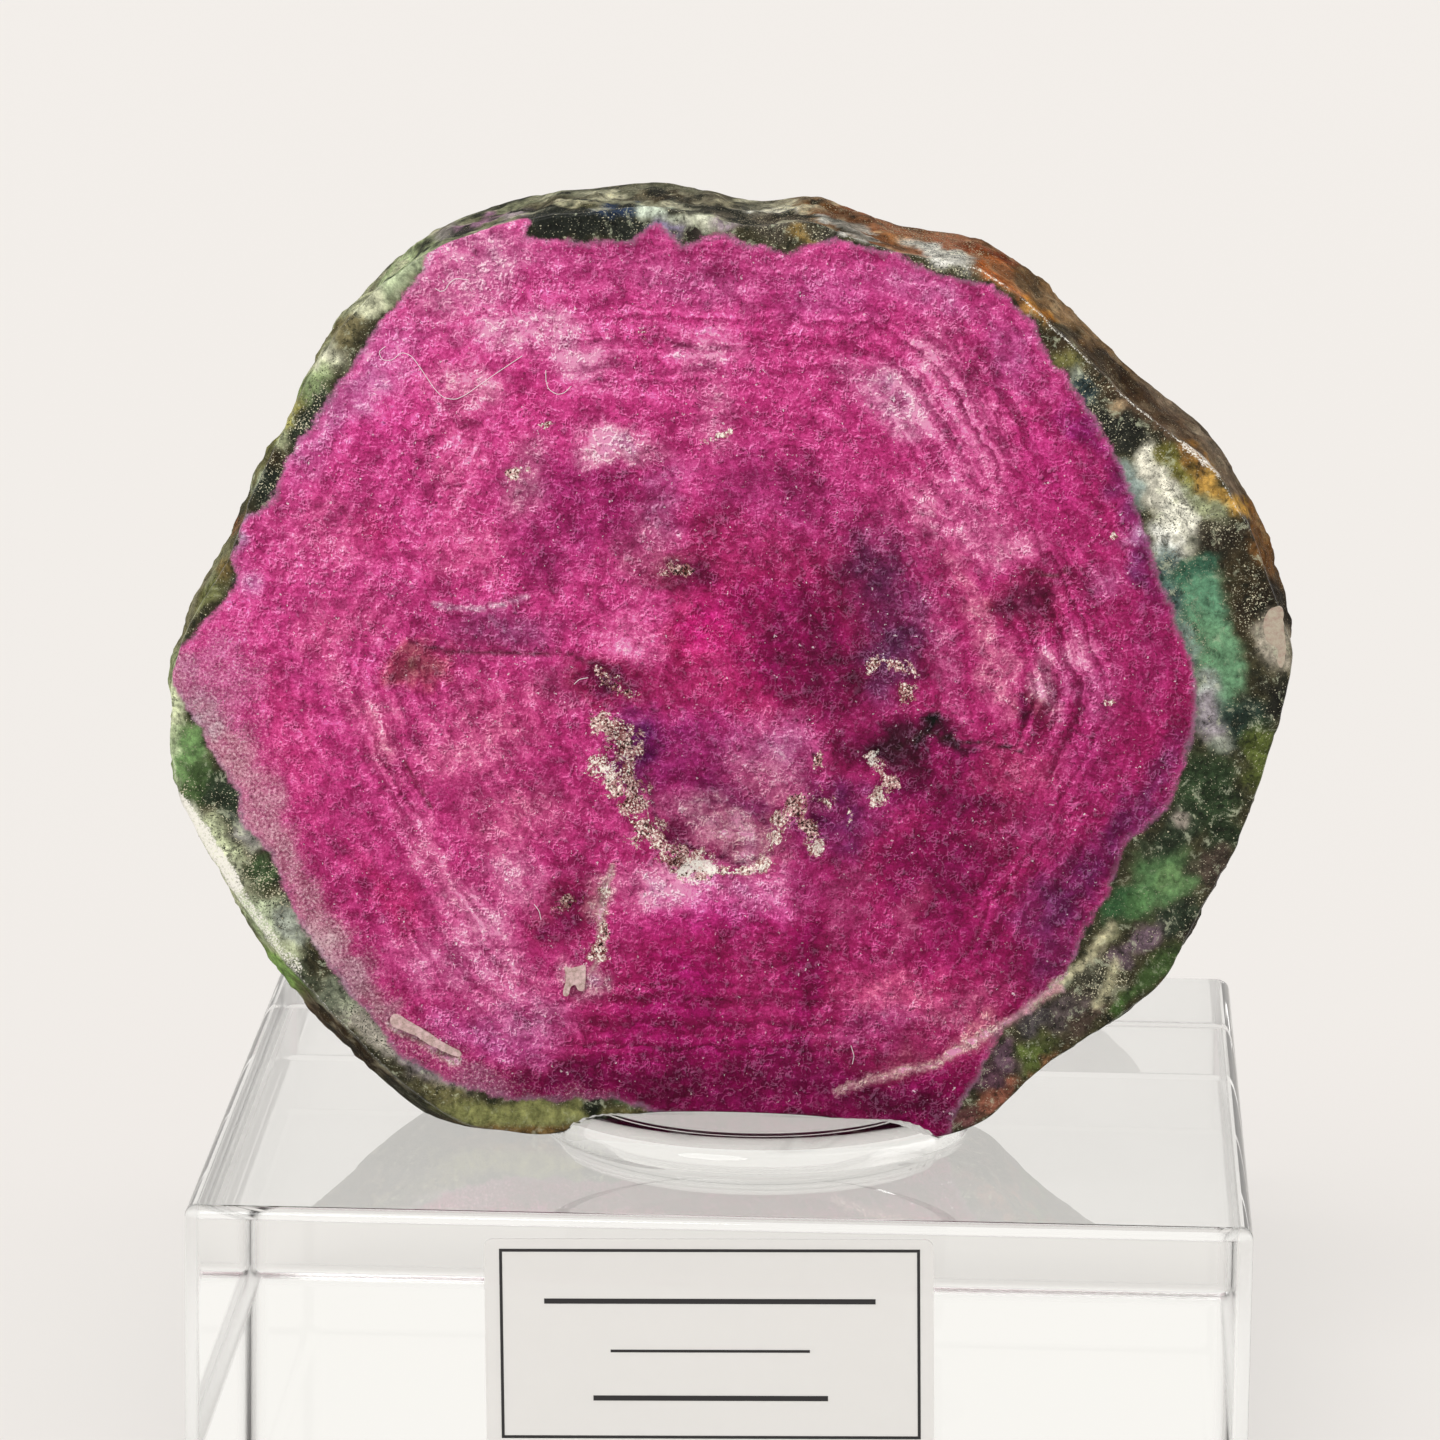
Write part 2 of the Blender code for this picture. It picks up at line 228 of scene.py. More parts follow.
# edge of the flake that broke out of the polished face
chipEdge = [
    (-7.9, 40.2), (-7.3, 38.6), (-6.9, 36.9), (-6.0, 35.6), (-5.3, 34.5), (-4.5, 33.3), (-3.4, 32.1),
    (-2.2, 31.4), (-0.9, 31.2), (0.6, 31.3), (1.8, 31.8), (2.5, 33.0), (3.2, 34.6), (4.2, 35.6),
    (4.6, 37.4), (4.4, 39.8), (2.8, 41.6), (-0.5, 42.4), (-4.5, 42.0),
]

# small hollows in the front face: across, up, half width, half height, depth
hollows = [
    (-6.9, 38.4, 0.8, 1.3, 0.35), (-2.8, 31.3, 1.2, 0.6, 0.40), (8.3, 38.1, 0.5, 0.8, 0.30),
    (8.4, 35.8, 0.4, 0.7, 0.30), (-9.8, 29.0, 0.9, 0.7, 0.25), (-7.4, 29.3, 0.4, 0.7, 0.25),
    (-8.9, 24.4, 0.7, 0.9, 0.30), (-18.3, 21.0, 1.1, 0.5, 0.30), (-16.6, 20.0, 0.9, 0.4, 0.25),
    (4.9, 34.6, 0.7, 1.2, 0.35), (5.0, 32.6, 0.5, 0.7, 0.25), (21.7, 41.6, 0.4, 0.3, 0.10),
    (14.4, 39.2, 0.3, 0.3, 0.15), (-5.3, 62.5, 0.3, 0.3, 0.12), (-10.9, 57.0, 0.3, 0.3, 0.12),
]

# veins and cracks: points, half width, groove depth, colour
veins = [
    ([(21.9, 28.4), (20.9, 27.1), (20.1, 25.9), (18.6, 24.7)], 0.34, 0.05, "c0ba98"),
    ([(22.2, 26.3), (21.8, 25.0), (21.1, 23.7)], 0.36, 0.05, "bdb896"),
    ([(6.3, 18.3), (8.2, 19.0), (10.2, 19.6), (11.8, 19.9), (13.2, 20.9), (14.4, 21.6), (15.8, 22.4),
      (17.5, 23.7), (18.9, 24.7)], 0.30, 0.06, "d69aa8"),
    ([(-19.6, 21.6), (-18.2, 20.9), (-16.9, 20.2), (-15.9, 19.5)], 0.34, 0.10, "d0b8ae"),
    ([(-17.4, 46.6), (-15.2, 46.1), (-13.4, 46.6), (-11.8, 47.1)], 0.14, 0.05, "d08ab4"),
    ([(-18.5, 44.2), (-15.3, 43.7), (-12.5, 43.7), (-10.0, 43.9), (-8.0, 43.3), (-5.9, 42.0)],
     0.14, 0.06, "641c38"),
    ([(-6.9, 31.4), (-7.4, 29.8), (-7.5, 27.5), (-7.3, 26.2), (-8.0, 25.2)], 0.22, 0.08, "b98a94"),
    ([(9.3, 38.6), (11.0, 39.6), (13.0, 39.2), (15.0, 38.9), (16.4, 38.6)], 0.14, 0.05, "2c1016"),
    ([(16.2, 49.3), (17.8, 48.9), (19.6, 49.3)], 0.10, 0.04, "5a2030"),
    ([(-9.0, 47.5), (-6.0, 47.9), (-2.6, 47.6)], 0.07, 0.03, "7c2048"),
    ([(-19.2, 38.1), (-18.3, 36.2), (-17.4, 34.6)], 0.06, 0.03, "70203c"),
    ([(-13.4, 62.6), (-11.2, 62.5), (-9.0, 62.8)], 0.07, 0.03, "8e2c5c"),
    ([(-4.2, 61.8), (-2.0, 61.7), (0.4, 61.9)], 0.06, 0.03, "902f5f"),
    # broken edge of the flake, and a step in its floor: grooves with dark lines of painted shade along them
    ([(-5.0, 36.6), (-4.8, 35.7), (-4.4, 34.2), (-4.0, 33.0), (-3.0, 32.5), (-1.0, 31.85), (0.4, 31.65),
      (1.5, 31.85), (2.3, 32.2)], 0.15, 0.05, "5e1a3c"),
    ([(-2.8, 35.0), (-1.7, 35.15), (-0.5, 35.0), (0.7, 34.7), (1.6, 34.3), (2.1, 33.6), (2.3, 32.9)],
     0.13, 0.05, "8a3462"),
    ([(4.5, 38.1), (4.8, 37.5)], 0.14, 0.05, "3a1020"),
]


def byAngle(points, rows):  # values read by direction from the slab's middle
    angle = np.degrees(np.arctan2(points[:, 1] - slab["middle"][1], points[:, 0] - slab["middle"][0])) % 360
    stops = np.array([row[0] for row in rows], float)
    table = np.array([row[1:] for row in rows], float)
    place = np.clip(np.searchsorted(stops, angle, side="right") - 1, 0, len(stops) - 2)
    share = smooth((angle - stops[place]) / (stops[place + 1] - stops[place]))
    return table[place] + (table[place + 1] - table[place]) * share[:, None]


def aboveSeat(edge):  # 0 where the slab stands on the block, easing to 1 above
    return smooth((edge[:, 1] - slab["blockTop"] - slab["seat"]) / slab["seatEase"])


def wallRing(edge, normals, depth):  # the rough skin at a share of the thickness
    near, middle, back = byAngle(edge, skinOut).T
    out = np.interp(depth, [0, 0.15, 0.5, 1.0], [0, 1, 1, 1]) * near
    if depth > 0.15:
        first = min(1.0, (depth - 0.15) / 0.35)
        last = max(0.0, (depth - 0.5) / 0.5)
        out = near + (middle - near) * first + (back - middle) * last
    place = np.stack([edge[:, 0], np.full(len(edge), depth * slab["thickness"]), edge[:, 1]], axis=1)
    lumps = sum(high * softNoise(place, wide, seed) for high, wide, seed in slab["lumps"])
    ledge = slab["ledges"] * np.tanh(6 * softNoise(place, 3.0, 5))
    away = math.sin(math.pi * min(1.0, max(0.0, depth))) ** 0.4
    moved = edge + normals * (out + (lumps + ledge - slab["sunk"]) * aboveSeat(edge) * away)[:, None]
    return np.clip(moved, slab["reach"][0], slab["reach"][1])


def frontRelief(points):  # depth below the polished face
    spot = np.stack([points[:, 0], np.zeros(len(points)), points[:, 1]], axis=1)
    ragged = 0.16 * softNoise(spot, 0.7, 6) + 0.10 * softNoise(spot, 0.35, 7)
    inside = signedDistance(points, chipEdge) + ragged
    slope = smooth((slab["chipTop"] - points[:, 1]) / slab["chipRun"])
    chip = slab["chipDepth"] * smooth(inside / slab["chipWall"]) * slope
    chip += 0.10 * softNoise(spot, 1.6, 8) * (chip > 0.02) * slope
    small = np.zeros(len(points))
    for x, z, w, h, depth in hollows:
        far = np.hypot((points[:, 0] - x) / w, (points[:, 1] - z) / h) + ragged * 1.2
        small = np.maximum(small, depth * smooth((1.15 - far) / 0.55))
    groove = np.zeros(len(points))
    for line, half, depth, _ in veins:
        far = lineDistance(points, line) + 0.4 * ragged
        groove = np.maximum(groove, depth * smooth(1.3 - far / half))
    return np.maximum(np.maximum(chip, 0), small) + groove


def gridPoints(edge, grain, clearance, seed):  # points spread over the inside of a closed line
    low, high = edge.min(axis=0), edge.max(axis=0)
    rows = np.arange(low[1], high[1], grain * 0.866)
    columns = np.arange(low[0], high[0], grain)
    across, up = np.meshgrid(columns, rows)
    across = across + (np.arange(len(rows)) % 2)[:, None] * grain * 0.5
    points = np.stack([across.ravel(), up.ravel()], axis=1)
    points += np.random.default_rng(seed).uniform(-0.12, 0.12, points.shape) * grain
    return points[signedDistance(points, edge) > clearance]


def fillFace(ringPoints, inner):  # triangles over a closed line and the points inside it
    flat = [Vector(p) for p in np.vstack([ringPoints, inner])]
    _, _, faces, origins, _, _ = delaunay_2d_cdt(flat, [], [list(range(len(ringPoints)))], 1, 1e-6)
    source = [o[0] for o in origins]
    return [[source[i] for i in face] for face in faces]


def slabGeometry():
    count = slab["edgePoints"]
    edge = closedCurve([(x, slab["blockTop"] + z) for x, z in faceEdge], count)
    along = np.roll(edge, -1, axis=0) - np.roll(edge, 1, axis=0)
    normals = np.stack([-along[:, 1], along[:, 0]], axis=1)
    normals /= np.hypot(*normals.T)[:, None]
    front, thick, bevel = slab["front"], slab["thickness"], slab["bevel"]
    place = np.stack([edge[:, 0], np.zeros(count), edge[:, 1]], axis=1)
    nicks = 0.07 * softNoise(place, 0.9, 9) + 0.06 * np.minimum(0, softNoise(place, 0.4, 10))
    edge = edge + normals * (nicks * aboveSeat(edge))[:, None]
    # polished edge: three small steps from the flat face round to the skin
    rings = [(edge - normals * bevel, front), (edge - normals * bevel * 0.3, front + bevel * 0.28),
             (edge, front + bevel)]
    for k in range(1, slab["wallRings"]):
        depth = bevel / thick + (1 - 3 * bevel / thick) * k / slab["wallRings"]
        rings.append((wallRing(edge, normals, depth), front + depth * thick))
    back = wallRing(edge, normals, 1.0)
    rings.append((back, front + thick - bevel * 1.2))
    rings.append((back - normals * bevel * 1.2, front + thick))

    places, faces, onSkin = [], [], []
    for level, (ring, depth) in enumerate(rings):
        places.append(np.stack([ring[:, 0], np.full(count, depth), ring[:, 1]], axis=1))
        onSkin.append(np.full(count, float(2 < level < len(rings) - 1)))
    step = np.arange(count)
    after = (step + 1) % count
    for level in range(len(rings) - 1):
        a, b = level * count, (level + 1) * count
        faces += np.stack([a + step, a + after, b + after, b + step], axis=1).tolist()

    frontRing, backRing = rings[0][0], rings[-1][0]
    inner = gridPoints(frontRing, slab["faceGrain"], slab["faceGrain"] * 0.6, 11)
    base = len(rings) * count
    places.append(np.stack([inner[:, 0], front + frontRelief(inner), inner[:, 1]], axis=1))
    faces += [[i if i < count else base + i - count for i in face] for face in fillFace(frontRing, inner)]
    innerBack = gridPoints(backRing, slab["backGrain"], slab["backGrain"] * 0.6, 12)
    base += len(inner)
    places.append(np.stack([innerBack[:, 0], np.full(len(innerBack), front + thick), innerBack[:, 1]],
                           axis=1))
    offset = (len(rings) - 1) * count
    faces += [[offset + i if i < count else base + i - count for i in face][::-1]
              for face in fillFace(backRing, innerBack)]
    onSkin.append(np.zeros(len(inner) + len(innerBack)))
    # how much painted highlight each of the polished edge's three steps gets
    edgeHighlightSteps = np.concatenate([np.full(count, k) for k in (0.0, 0.66, 0.36)])
    edgeHighlightSteps = np.pad(edgeHighlightSteps, (0, sum(map(len, places)) - len(edgeHighlightSteps)))
    return np.vstack(places), faces, np.concatenate(onSkin), edgeHighlightSteps


# the slab's minerals are zones placed one by one: across, up, half length, half width, turn, colour, strength

# edge of the ruby crystal inside its zoisite rim, clockwise from the top left
rubyEdge = [
    (-17.0, 69.6), (-17.6, 67.0), (-17.9, 65.7), (-18.9, 64.5), (-19.9, 63.3), (-20.9, 62.0), (-22.3, 60.0),
    (-23.8, 57.7), (-25.1, 55.7), (-26.3, 53.4), (-26.7, 52.3), (-28.1, 51.4), (-29.0, 48.8), (-28.6, 47.9),
    (-29.2, 46.5), (-31.0, 44.5), (-32.6, 43.2), (-32.6, 42.0), (-31.7, 40.5), (-30.1, 37.8), (-28.6, 35.3),
    (-28.4, 33.6), (-26.7, 31.7), (-26.1, 29.6), (-25.1, 27.7), (-23.5, 25.3), (-22.2, 23.5), (-20.8, 21.9),
    (-18.8, 19.6), (-16.3, 18.3), (-12.3, 17.3), (-8.6, 17.4), (-6.4, 17.5), (-4.3, 16.6), (0.0, 16.2),
    (6.0, 16.0), (12.3, 14.8), (13.2, 17.1), (14.3, 19.3), (15.4, 21.7), (17.2, 23.6), (19.4, 25.5),
    (20.0, 27.5), (21.6, 30.4), (22.8, 33.4), (25.2, 35.8), (26.2, 39.0), (26.4, 42.0), (26.1, 44.0),
    (25.4, 45.5), (24.4, 48.4), (23.4, 51.1), (22.5, 53.8), (21.35, 56.4), (19.75, 58.9), (17.85, 61.3),
    (16.5, 63.7), (14.3, 65.5), (11.4, 66.2), (8.7, 67.2), (5.3, 68.1), (2.7, 67.2), (0.0, 67.8),
    (-1.0, 68.3), (-3.4, 67.5), (-4.5, 68.9), (-5.5, 68.2), (-6.3, 67.7), (-9.3, 67.6), (-12.0, 67.7),
    (-12.2, 69.0), (-12.6, 70.2),
]

rubyBase = ("c44a8a", "942a60")  # upper left, lower right

crystal = {
    "middle": (-2.3, 42.0),
    "cornering": 14,  # higher is sharper
    "average": "b23c78",
    "level": "b3276b",  # what the average becomes
    "palest": "de8cba",
    "depth": (1.45, 1.45, 1.5),  # how far colours are pushed away from it
    "darkDepth": 1.0,  # and how much of that where they are darker
}

# where the growth bands show: across, up, half length, half width, turn, strength
bandZones = [
    (18.8, 43.0, 2.8, 8.0, 0, 1.0), (12.5, 58.6, 5.5, 3.2, -42, 0.9), (-4.5, 61.8, 7.0, 2.6, 0, 0.75),
    (5.5, 62.4, 5.0, 2.4, -8, 0.6), (-19.6, 39.4, 2.6, 7.0, 0, 0.7), (-1.5, 22.0, 11.0, 2.8, 0, 0.7),
    (16.6, 31.0, 2.6, 5.4, -32, 0.7), (-15.4, 26.8, 2.6, 5.6, 38, 0.6), (-17.6, 55.0, 2.6, 5.4, -34, 0.45),
    (10.4, 48.2, 1.6, 6.0, 14, 0.5),
]

rubyZones = [
    (-15.0, 67.0, 3.2, 1.7, 20, "cc78a6", 0.7), (-13.6, 66.0, 1.2, 2.0, 0, "d690b6", 0.5),
    (-17.0, 64.6, 2.4, 1.4, 30, "cf7aa6", 0.6), (-12.0, 62.2, 3.4, 1.3, 0, "d688b2", 0.7),
    (-8.8, 60.9, 2.0, 1.3, 0, "d680ae", 0.6), (-2.0, 61.0, 1.7, 1.2, 0, "d88cb4", 0.55),
    (-15.6, 59.0, 1.8, 1.1, 0, "d98fb0", 0.6), (-12.2, 53.7, 1.1, 2.1, -10, "c98ea8", 0.7),
    (-6.8, 55.7, 1.8, 1.0, 0, "e6aec6", 0.9), (-1.3, 57.4, 1.0, 1.8, 0, "cc74a0", 0.6),
    (-20.2, 60.4, 2.6, 1.6, 50, "c66aa2", 0.6), (-24.0, 55.6, 1.2, 2.6, -28, "c470a6", 0.6),
    (-22.0, 58.5, 1.0, 2.0, -38, "c47cae", 0.5), (-28.5, 50.6, 0.6, 1.1, -12, "9c90b4", 0.6),
    (-28.3, 47.8, 0.9, 0.9, 0, "b878a8", 0.5), (-2.0, 64.9, 2.6, 1.2, 0, "c868a0", 0.5),
    (5.0, 64.8, 3.2, 1.3, 0, "bc5a98", 0.35), (15.6, 62.0, 1.4, 2.4, 38, "c868a4", 0.55),
    (10.6, 65.0, 2.4, 1.0, -15, "c272a6", 0.5),
    (8.8, 58.8, 2.6, 1.3, -35, "e094be", 0.8), (11.0, 61.4, 1.2, 1.8, 0, "d680ac", 0.5),
    (13.4, 58.0, 1.4, 3.2, 24, "d06fa2", 0.55), (13.0, 53.6, 1.3, 2.8, 18, "ca6098", 0.5),
    (11.0, 52.4, 0.9, 1.6, 10, "d284aa", 0.5), (15.4, 50.4, 2.4, 1.1, -20, "cf74a2", 0.6),
    (18.0, 54.6, 1.8, 3.0, 22, "b03478", 0.5), (-16.2, 55.0, 1.5, 3.2, 0, "cd6494", 0.45),
    (-12.2, 57.6, 1.2, 1.8, 0, "b43a78", 0.5), (-20.6, 56.4, 2.2, 1.4, 0, "b2387a", 0.45),
    (-23.6, 50.2, 2.2, 2.2, 0, "cc6494", 0.5), (-20.6, 50.6, 1.5, 1.2, 0, "9e2c60", 0.5),
    (-22.4, 45.4, 2.6, 1.4, 20, "c05a86", 0.4), (-15.6, 49.6, 2.2, 1.6, 0, "cc6292", 0.5),
    (-15.0, 42.6, 1.6, 1.6, 0, "c05088", 0.4), (-25.5, 38.5, 1.2, 4.0, 18, "b03a70", 0.4),
    # dark clouds
    (-8.0, 52.6, 4.2, 2.2, -12, "8c2a62", 0.75), (-10.6, 49.6, 2.0, 1.6, 0, "8a2c62", 0.6),
    (-3.3, 48.6, 2.1, 1.1, 5, "582434", 0.85), (-0.4, 47.2, 2.4, 1.6, 0, "8c1c4c", 0.6),
    (1.3, 53.4, 2.8, 1.9, -20, "96346c", 0.6), (5.4, 52.2, 2.6, 2.2, -30, "9a366e", 0.5),
    (7.6, 49.3, 1.9, 1.7, -30, "652c52", 0.85), (9.1, 45.8, 1.7, 2.8, -8, "68325a", 0.85),
    (4.3, 45.2, 2.6, 3.4, 0, "70143e", 0.8), (7.0, 42.4, 3.4, 2.2, 0, "70204c", 0.75),
    (1.4, 43.0, 2.0, 2.0, 0, "86184a", 0.6), (10.2, 39.5, 1.6, 0.5, 6, "5a1840", 0.7),
    (11.3, 39.4, 0.9, 0.28, 20, "20141a", 0.95), (11.9, 40.0, 0.6, 0.24, 55, "242014", 0.95),
    (12.6, 39.1, 0.7, 0.22, -8, "2c1c18", 0.85), (11.1, 38.4, 0.7, 0.22, 65, "34202a", 0.8),
    (8.4, 38.6, 2.4, 1.4, 0, "521439", 0.9),
    (12.6, 38.1, 2.6, 1.1, 0, "6c1840", 0.6), (9.8, 36.4, 1.6, 1.2, 0, "6a1c50", 0.6),
    (6.0, 34.2, 2.2, 2.0, -20, "6e2c5c", 0.85), (-5.7, 38.0, 1.2, 1.9, 0, "6e305c", 0.85),
    (-18.0, 42.9, 1.5, 1.1, 35, "7a4430", 0.85), (-13.2, 45.1, 2.6, 1.3, 0, "84406c", 0.65),
    (-7.1, 42.3, 1.8, 1.0, -20, "5a1420", 0.8), (-10.2, 41.8, 1.6, 1.2, 0, "9a5a78", 0.4),
    (16.6, 47.3, 1.7, 0.9, 8, "5a2428", 0.75), (19.0, 48.7, 1.6, 0.7, 0, "7c2450", 0.5),
    (17.0, 41.2, 0.9, 0.8, 0, "4c1024", 0.75), (13.2, 35.5, 2.4, 1.4, 0, "6c1c36", 0.6),
    (-9.4, 28.4, 1.5, 1.4, 0, "6c1c3c", 0.8), (-12.3, 30.6, 2.2, 1.2, -40, "d47eaa", 0.6),
    (4.4, 26.4, 1.2, 3.4, 0, "7c1046", 0.7),
    (-3.4, 20.8, 4.6, 3.4, 0, "841448", 0.5), (0.5, 18.0, 13.0, 1.7, 0, "70143e", 0.65),
    (-3.0, 25.2, 2.4, 2.0, 0, "8c1850", 0.5), (4.0, 20.2, 2.6, 1.6, 0, "70143c", 0.5),
    (10.4, 23.4, 3.8, 1.5, 16, "cc5c94", 0.7),
    (11.8, 31.6, 3.2, 3.0, 0, "741a44", 0.65), (16.2, 34.0, 2.4, 1.4, 0, "c05490", 0.4),
    (18.4, 29.4, 1.5, 3.6, -24, "763060", 0.8), (20.6, 31.6, 1.2, 3.4, -30, "6c2858", 0.75),
    (22.6, 34.4, 1.1, 2.4, -38, "722c5c", 0.75), (24.6, 37.6, 0.9, 2.6, -16, "80386a", 0.7),
    (18.3, 25.9, 0.8, 1.6, -30, "74305e", 0.7), (23.6, 44.4, 1.1, 2.6, 10, "9c3870", 0.5),
    (23.2, 49.6, 0.7, 2.6, 18, "6c3060", 0.7), (22.0, 53.2, 0.7, 2.6, 22, "783668", 0.6),
    (20.0, 57.2, 0.6, 2.4, 34, "8a2c72", 0.5), (10.4, 17.4, 3.4, 1.1, 0, "5c183e", 0.55),
    (-9.6, 18.8, 3.2, 1.0, 0, "641a3c", 0.55), (-13.6, 20.9, 3.4, 1.2, -16, "c262a0", 0.6),
    (-12.4, 40.5, 2.2, 1.6, 0, "a03468", 0.4),
    (-1.6, 50.6, 1.6, 1.4, 0, "8e2656", 0.5), (-3.8, 42.4, 2.0, 1.2, 0, "8c2858", 0.6),
    (-19.6, 46.4, 1.9, 1.4, 0, "983468", 0.45), (-5.0, 66.2, 9.0, 1.7, 0, "983e70", 0.5),
    (2.6, 49.8, 2.6, 1.4, 0, "983262", 0.45), (14.0, 26.6, 2.6, 1.8, 0, "86205a", 0.4),
    (12.4, 52.0, 4.0, 2.4, 0, "cc6c9c", 0.35),
    # bright and pale places
    (-5.6, 44.9, 1.7, 1.2, 0, "e070a8", 0.8), (-1.9, 45.4, 1.8, 1.5, 0, "b42a5c", 0.7),
    (-0.5, 41.4, 2.4, 1.4, 0, "aa3468", 0.6), (-5.2, 50.2, 1.2, 2.4, -18, "bc6690", 0.7),
    (-4.0, 53.4, 1.0, 1.6, -20, "b8649a", 0.5), (-4.0, 30.2, 2.3, 1.3, 0, "e28cb8", 0.9),
    (0.2, 29.8, 3.8, 1.4, 0, "e078b2", 0.85), (3.2, 30.8, 1.6, 1.0, 0, "c8689c", 0.3),
    (4.6, 30.6, 1.4, 1.6, 0, "8c2a60", 0.6),
    (-0.6, 28.2, 3.8, 1.2, 0, "b83480", 0.6), (-14.0, 27.4, 2.8, 1.5, -45, "d880ae", 0.7),
    (-17.2, 31.4, 3.4, 0.9, -58, "d0709e", 0.6), (-19.6, 29.0, 3.0, 0.8, -60, "a82c60", 0.4),
    (-16.4, 25.2, 3.4, 1.5, -20, "d272a6", 0.6), (-12.6, 23.8, 2.2, 1.2, 0, "cc6296", 0.4),
    (-8.7, 24.5, 1.0, 0.9, 0, "e4b8c6", 0.8), (-7.6, 29.6, 0.7, 1.2, 0, "c89aa6", 0.6),
    (-15.0, 38.6, 3.2, 2.2, 20, "cc6c96", 0.5), (-12.6, 34.2, 2.8, 1.6, 0, "cc6c96", 0.6),
    (-16.2, 28.8, 2.6, 1.6, -50, "cc6298", 0.5),
    (-11.8, 22.2, 2.6, 1.2, -8, "cc70a4", 0.65), (8.0, 21.8, 2.4, 0.9, 8, "b8528c", 0.5),
    (-20.6, 38.8, 1.1, 2.0, 10, "cc7096", 0.5), (-22.6, 41.6, 2.8, 0.7, -60, "d07c9c", 0.25),
    (17.8, 42.6, 0.7, 1.8, 14, "d890b2", 0.8), (15.0, 43.6, 0.8, 2.8, 14, "d0789e", 0.7),
    (13.5, 47.2, 0.8, 2.8, 20, "cc7096", 0.6), (12.0, 44.0, 0.8, 3.2, 16, "b4608c", 0.5),
    (20.6, 42.6, 1.4, 2.2, 8, "c4629a", 0.5), (19.4, 44.6, 0.9, 1.4, 20, "cf7ba6", 0.5),
    (21.2, 48.6, 1.1, 1.0, 0, "cc74aa", 0.6), (22.2, 51.3, 0.8, 0.5, 0, "d48abc", 0.8),
    (16.4, 37.6, 2.2, 1.6, 0, "b8507c", 0.5), (20.4, 38.0, 2.2, 2.4, 0, "ac3e7c", 0.4),
    (9.4, 24.2, 3.2, 1.2, 0, "bc4c7c", 0.6), (13.2, 22.9, 2.2, 0.9, 22, "c4658e", 0.6),
    (9.6, 20.1, 2.2, 0.8, 20, "96546a", 0.5), (6.6, 29.2, 0.9, 2.2, -20, "9c4a74", 0.5),
    (10.2, 28.4, 0.7, 2.6, -30, "b05480", 0.5), (12.8, 25.4, 1.6, 1.0, 0, "a83066", 0.4),
    (8.6, 43.0, 1.4, 1.6, 0, "80507c", 0.6), (14.4, 21.6, 1.6, 0.6, 30, "d2869a", 0.6),
    # chip floor, bruised and pale
    (-2.8, 37.8, 3.4, 3.0, -20, "9a3474", 0.75), (-5.2, 38.4, 1.2, 2.0, -30, "5a1c52", 0.7),
    (2.6, 38.4, 2.0, 2.6, 28, "c0649a", 0.8), (1.6, 36.4, 2.6, 1.4, -30, "cc6c9a", 0.7),
    (-1.0, 33.9, 3.2, 1.5, 0, "c47c9e", 0.85), (1.0, 32.9, 2.0, 1.1, 0, "c88aa2", 0.8),
    (-3.6, 33.4, 0.9, 0.6, -30, "6c1c48", 0.8), (0.6, 35.0, 2.6, 0.45, -18, "8a3068", 0.7),
]

# grey pink halo down the left side, painted last
haloZones = [
    (-31.3, 41.4, 1.8, 1.7, 0, "a88c98", 0.85), (-30.4, 39.2, 1.7, 2.2, 30, "aa949c", 0.95),
    (-28.6, 37.0, 1.9, 2.4, 22, "b89098", 0.9), (-27.4, 34.0, 1.6, 2.2, 14, "c0889c", 0.95),
    (-26.2, 31.2, 1.4, 2.2, 20, "b08490", 0.9), (-24.7, 28.4, 1.3, 2.0, 28, "b0808e", 0.85),
    (-23.5, 26.4, 1.5, 1.8, 36, "bc8c9a", 0.95), (-22.0, 24.6, 1.4, 1.8, 42, "ac8a96", 0.9),
    (-20.4, 22.6, 1.4, 1.6, 44, "9c8286", 0.85), (-18.0, 20.7, 2.2, 1.0, -30, "8c6474", 0.6),
    (-14.6, 18.6, 2.2, 0.8, -14, "8a7484", 0.7), (-10.0, 17.3, 3.0, 0.5, 0, "5c4440", 0.7),
    (-29.8, 43.2, 2.0, 0.9, 40, "b8709c", 0.6), (-28.9, 41.4, 1.5, 2.0, 10, "b48ca4", 0.6),
    (-24.2, 26.0, 1.0, 1.3, 36, "d2b4ba", 1),
]

rimBase = "3e3a24"  # dark hornblende with green zoisite

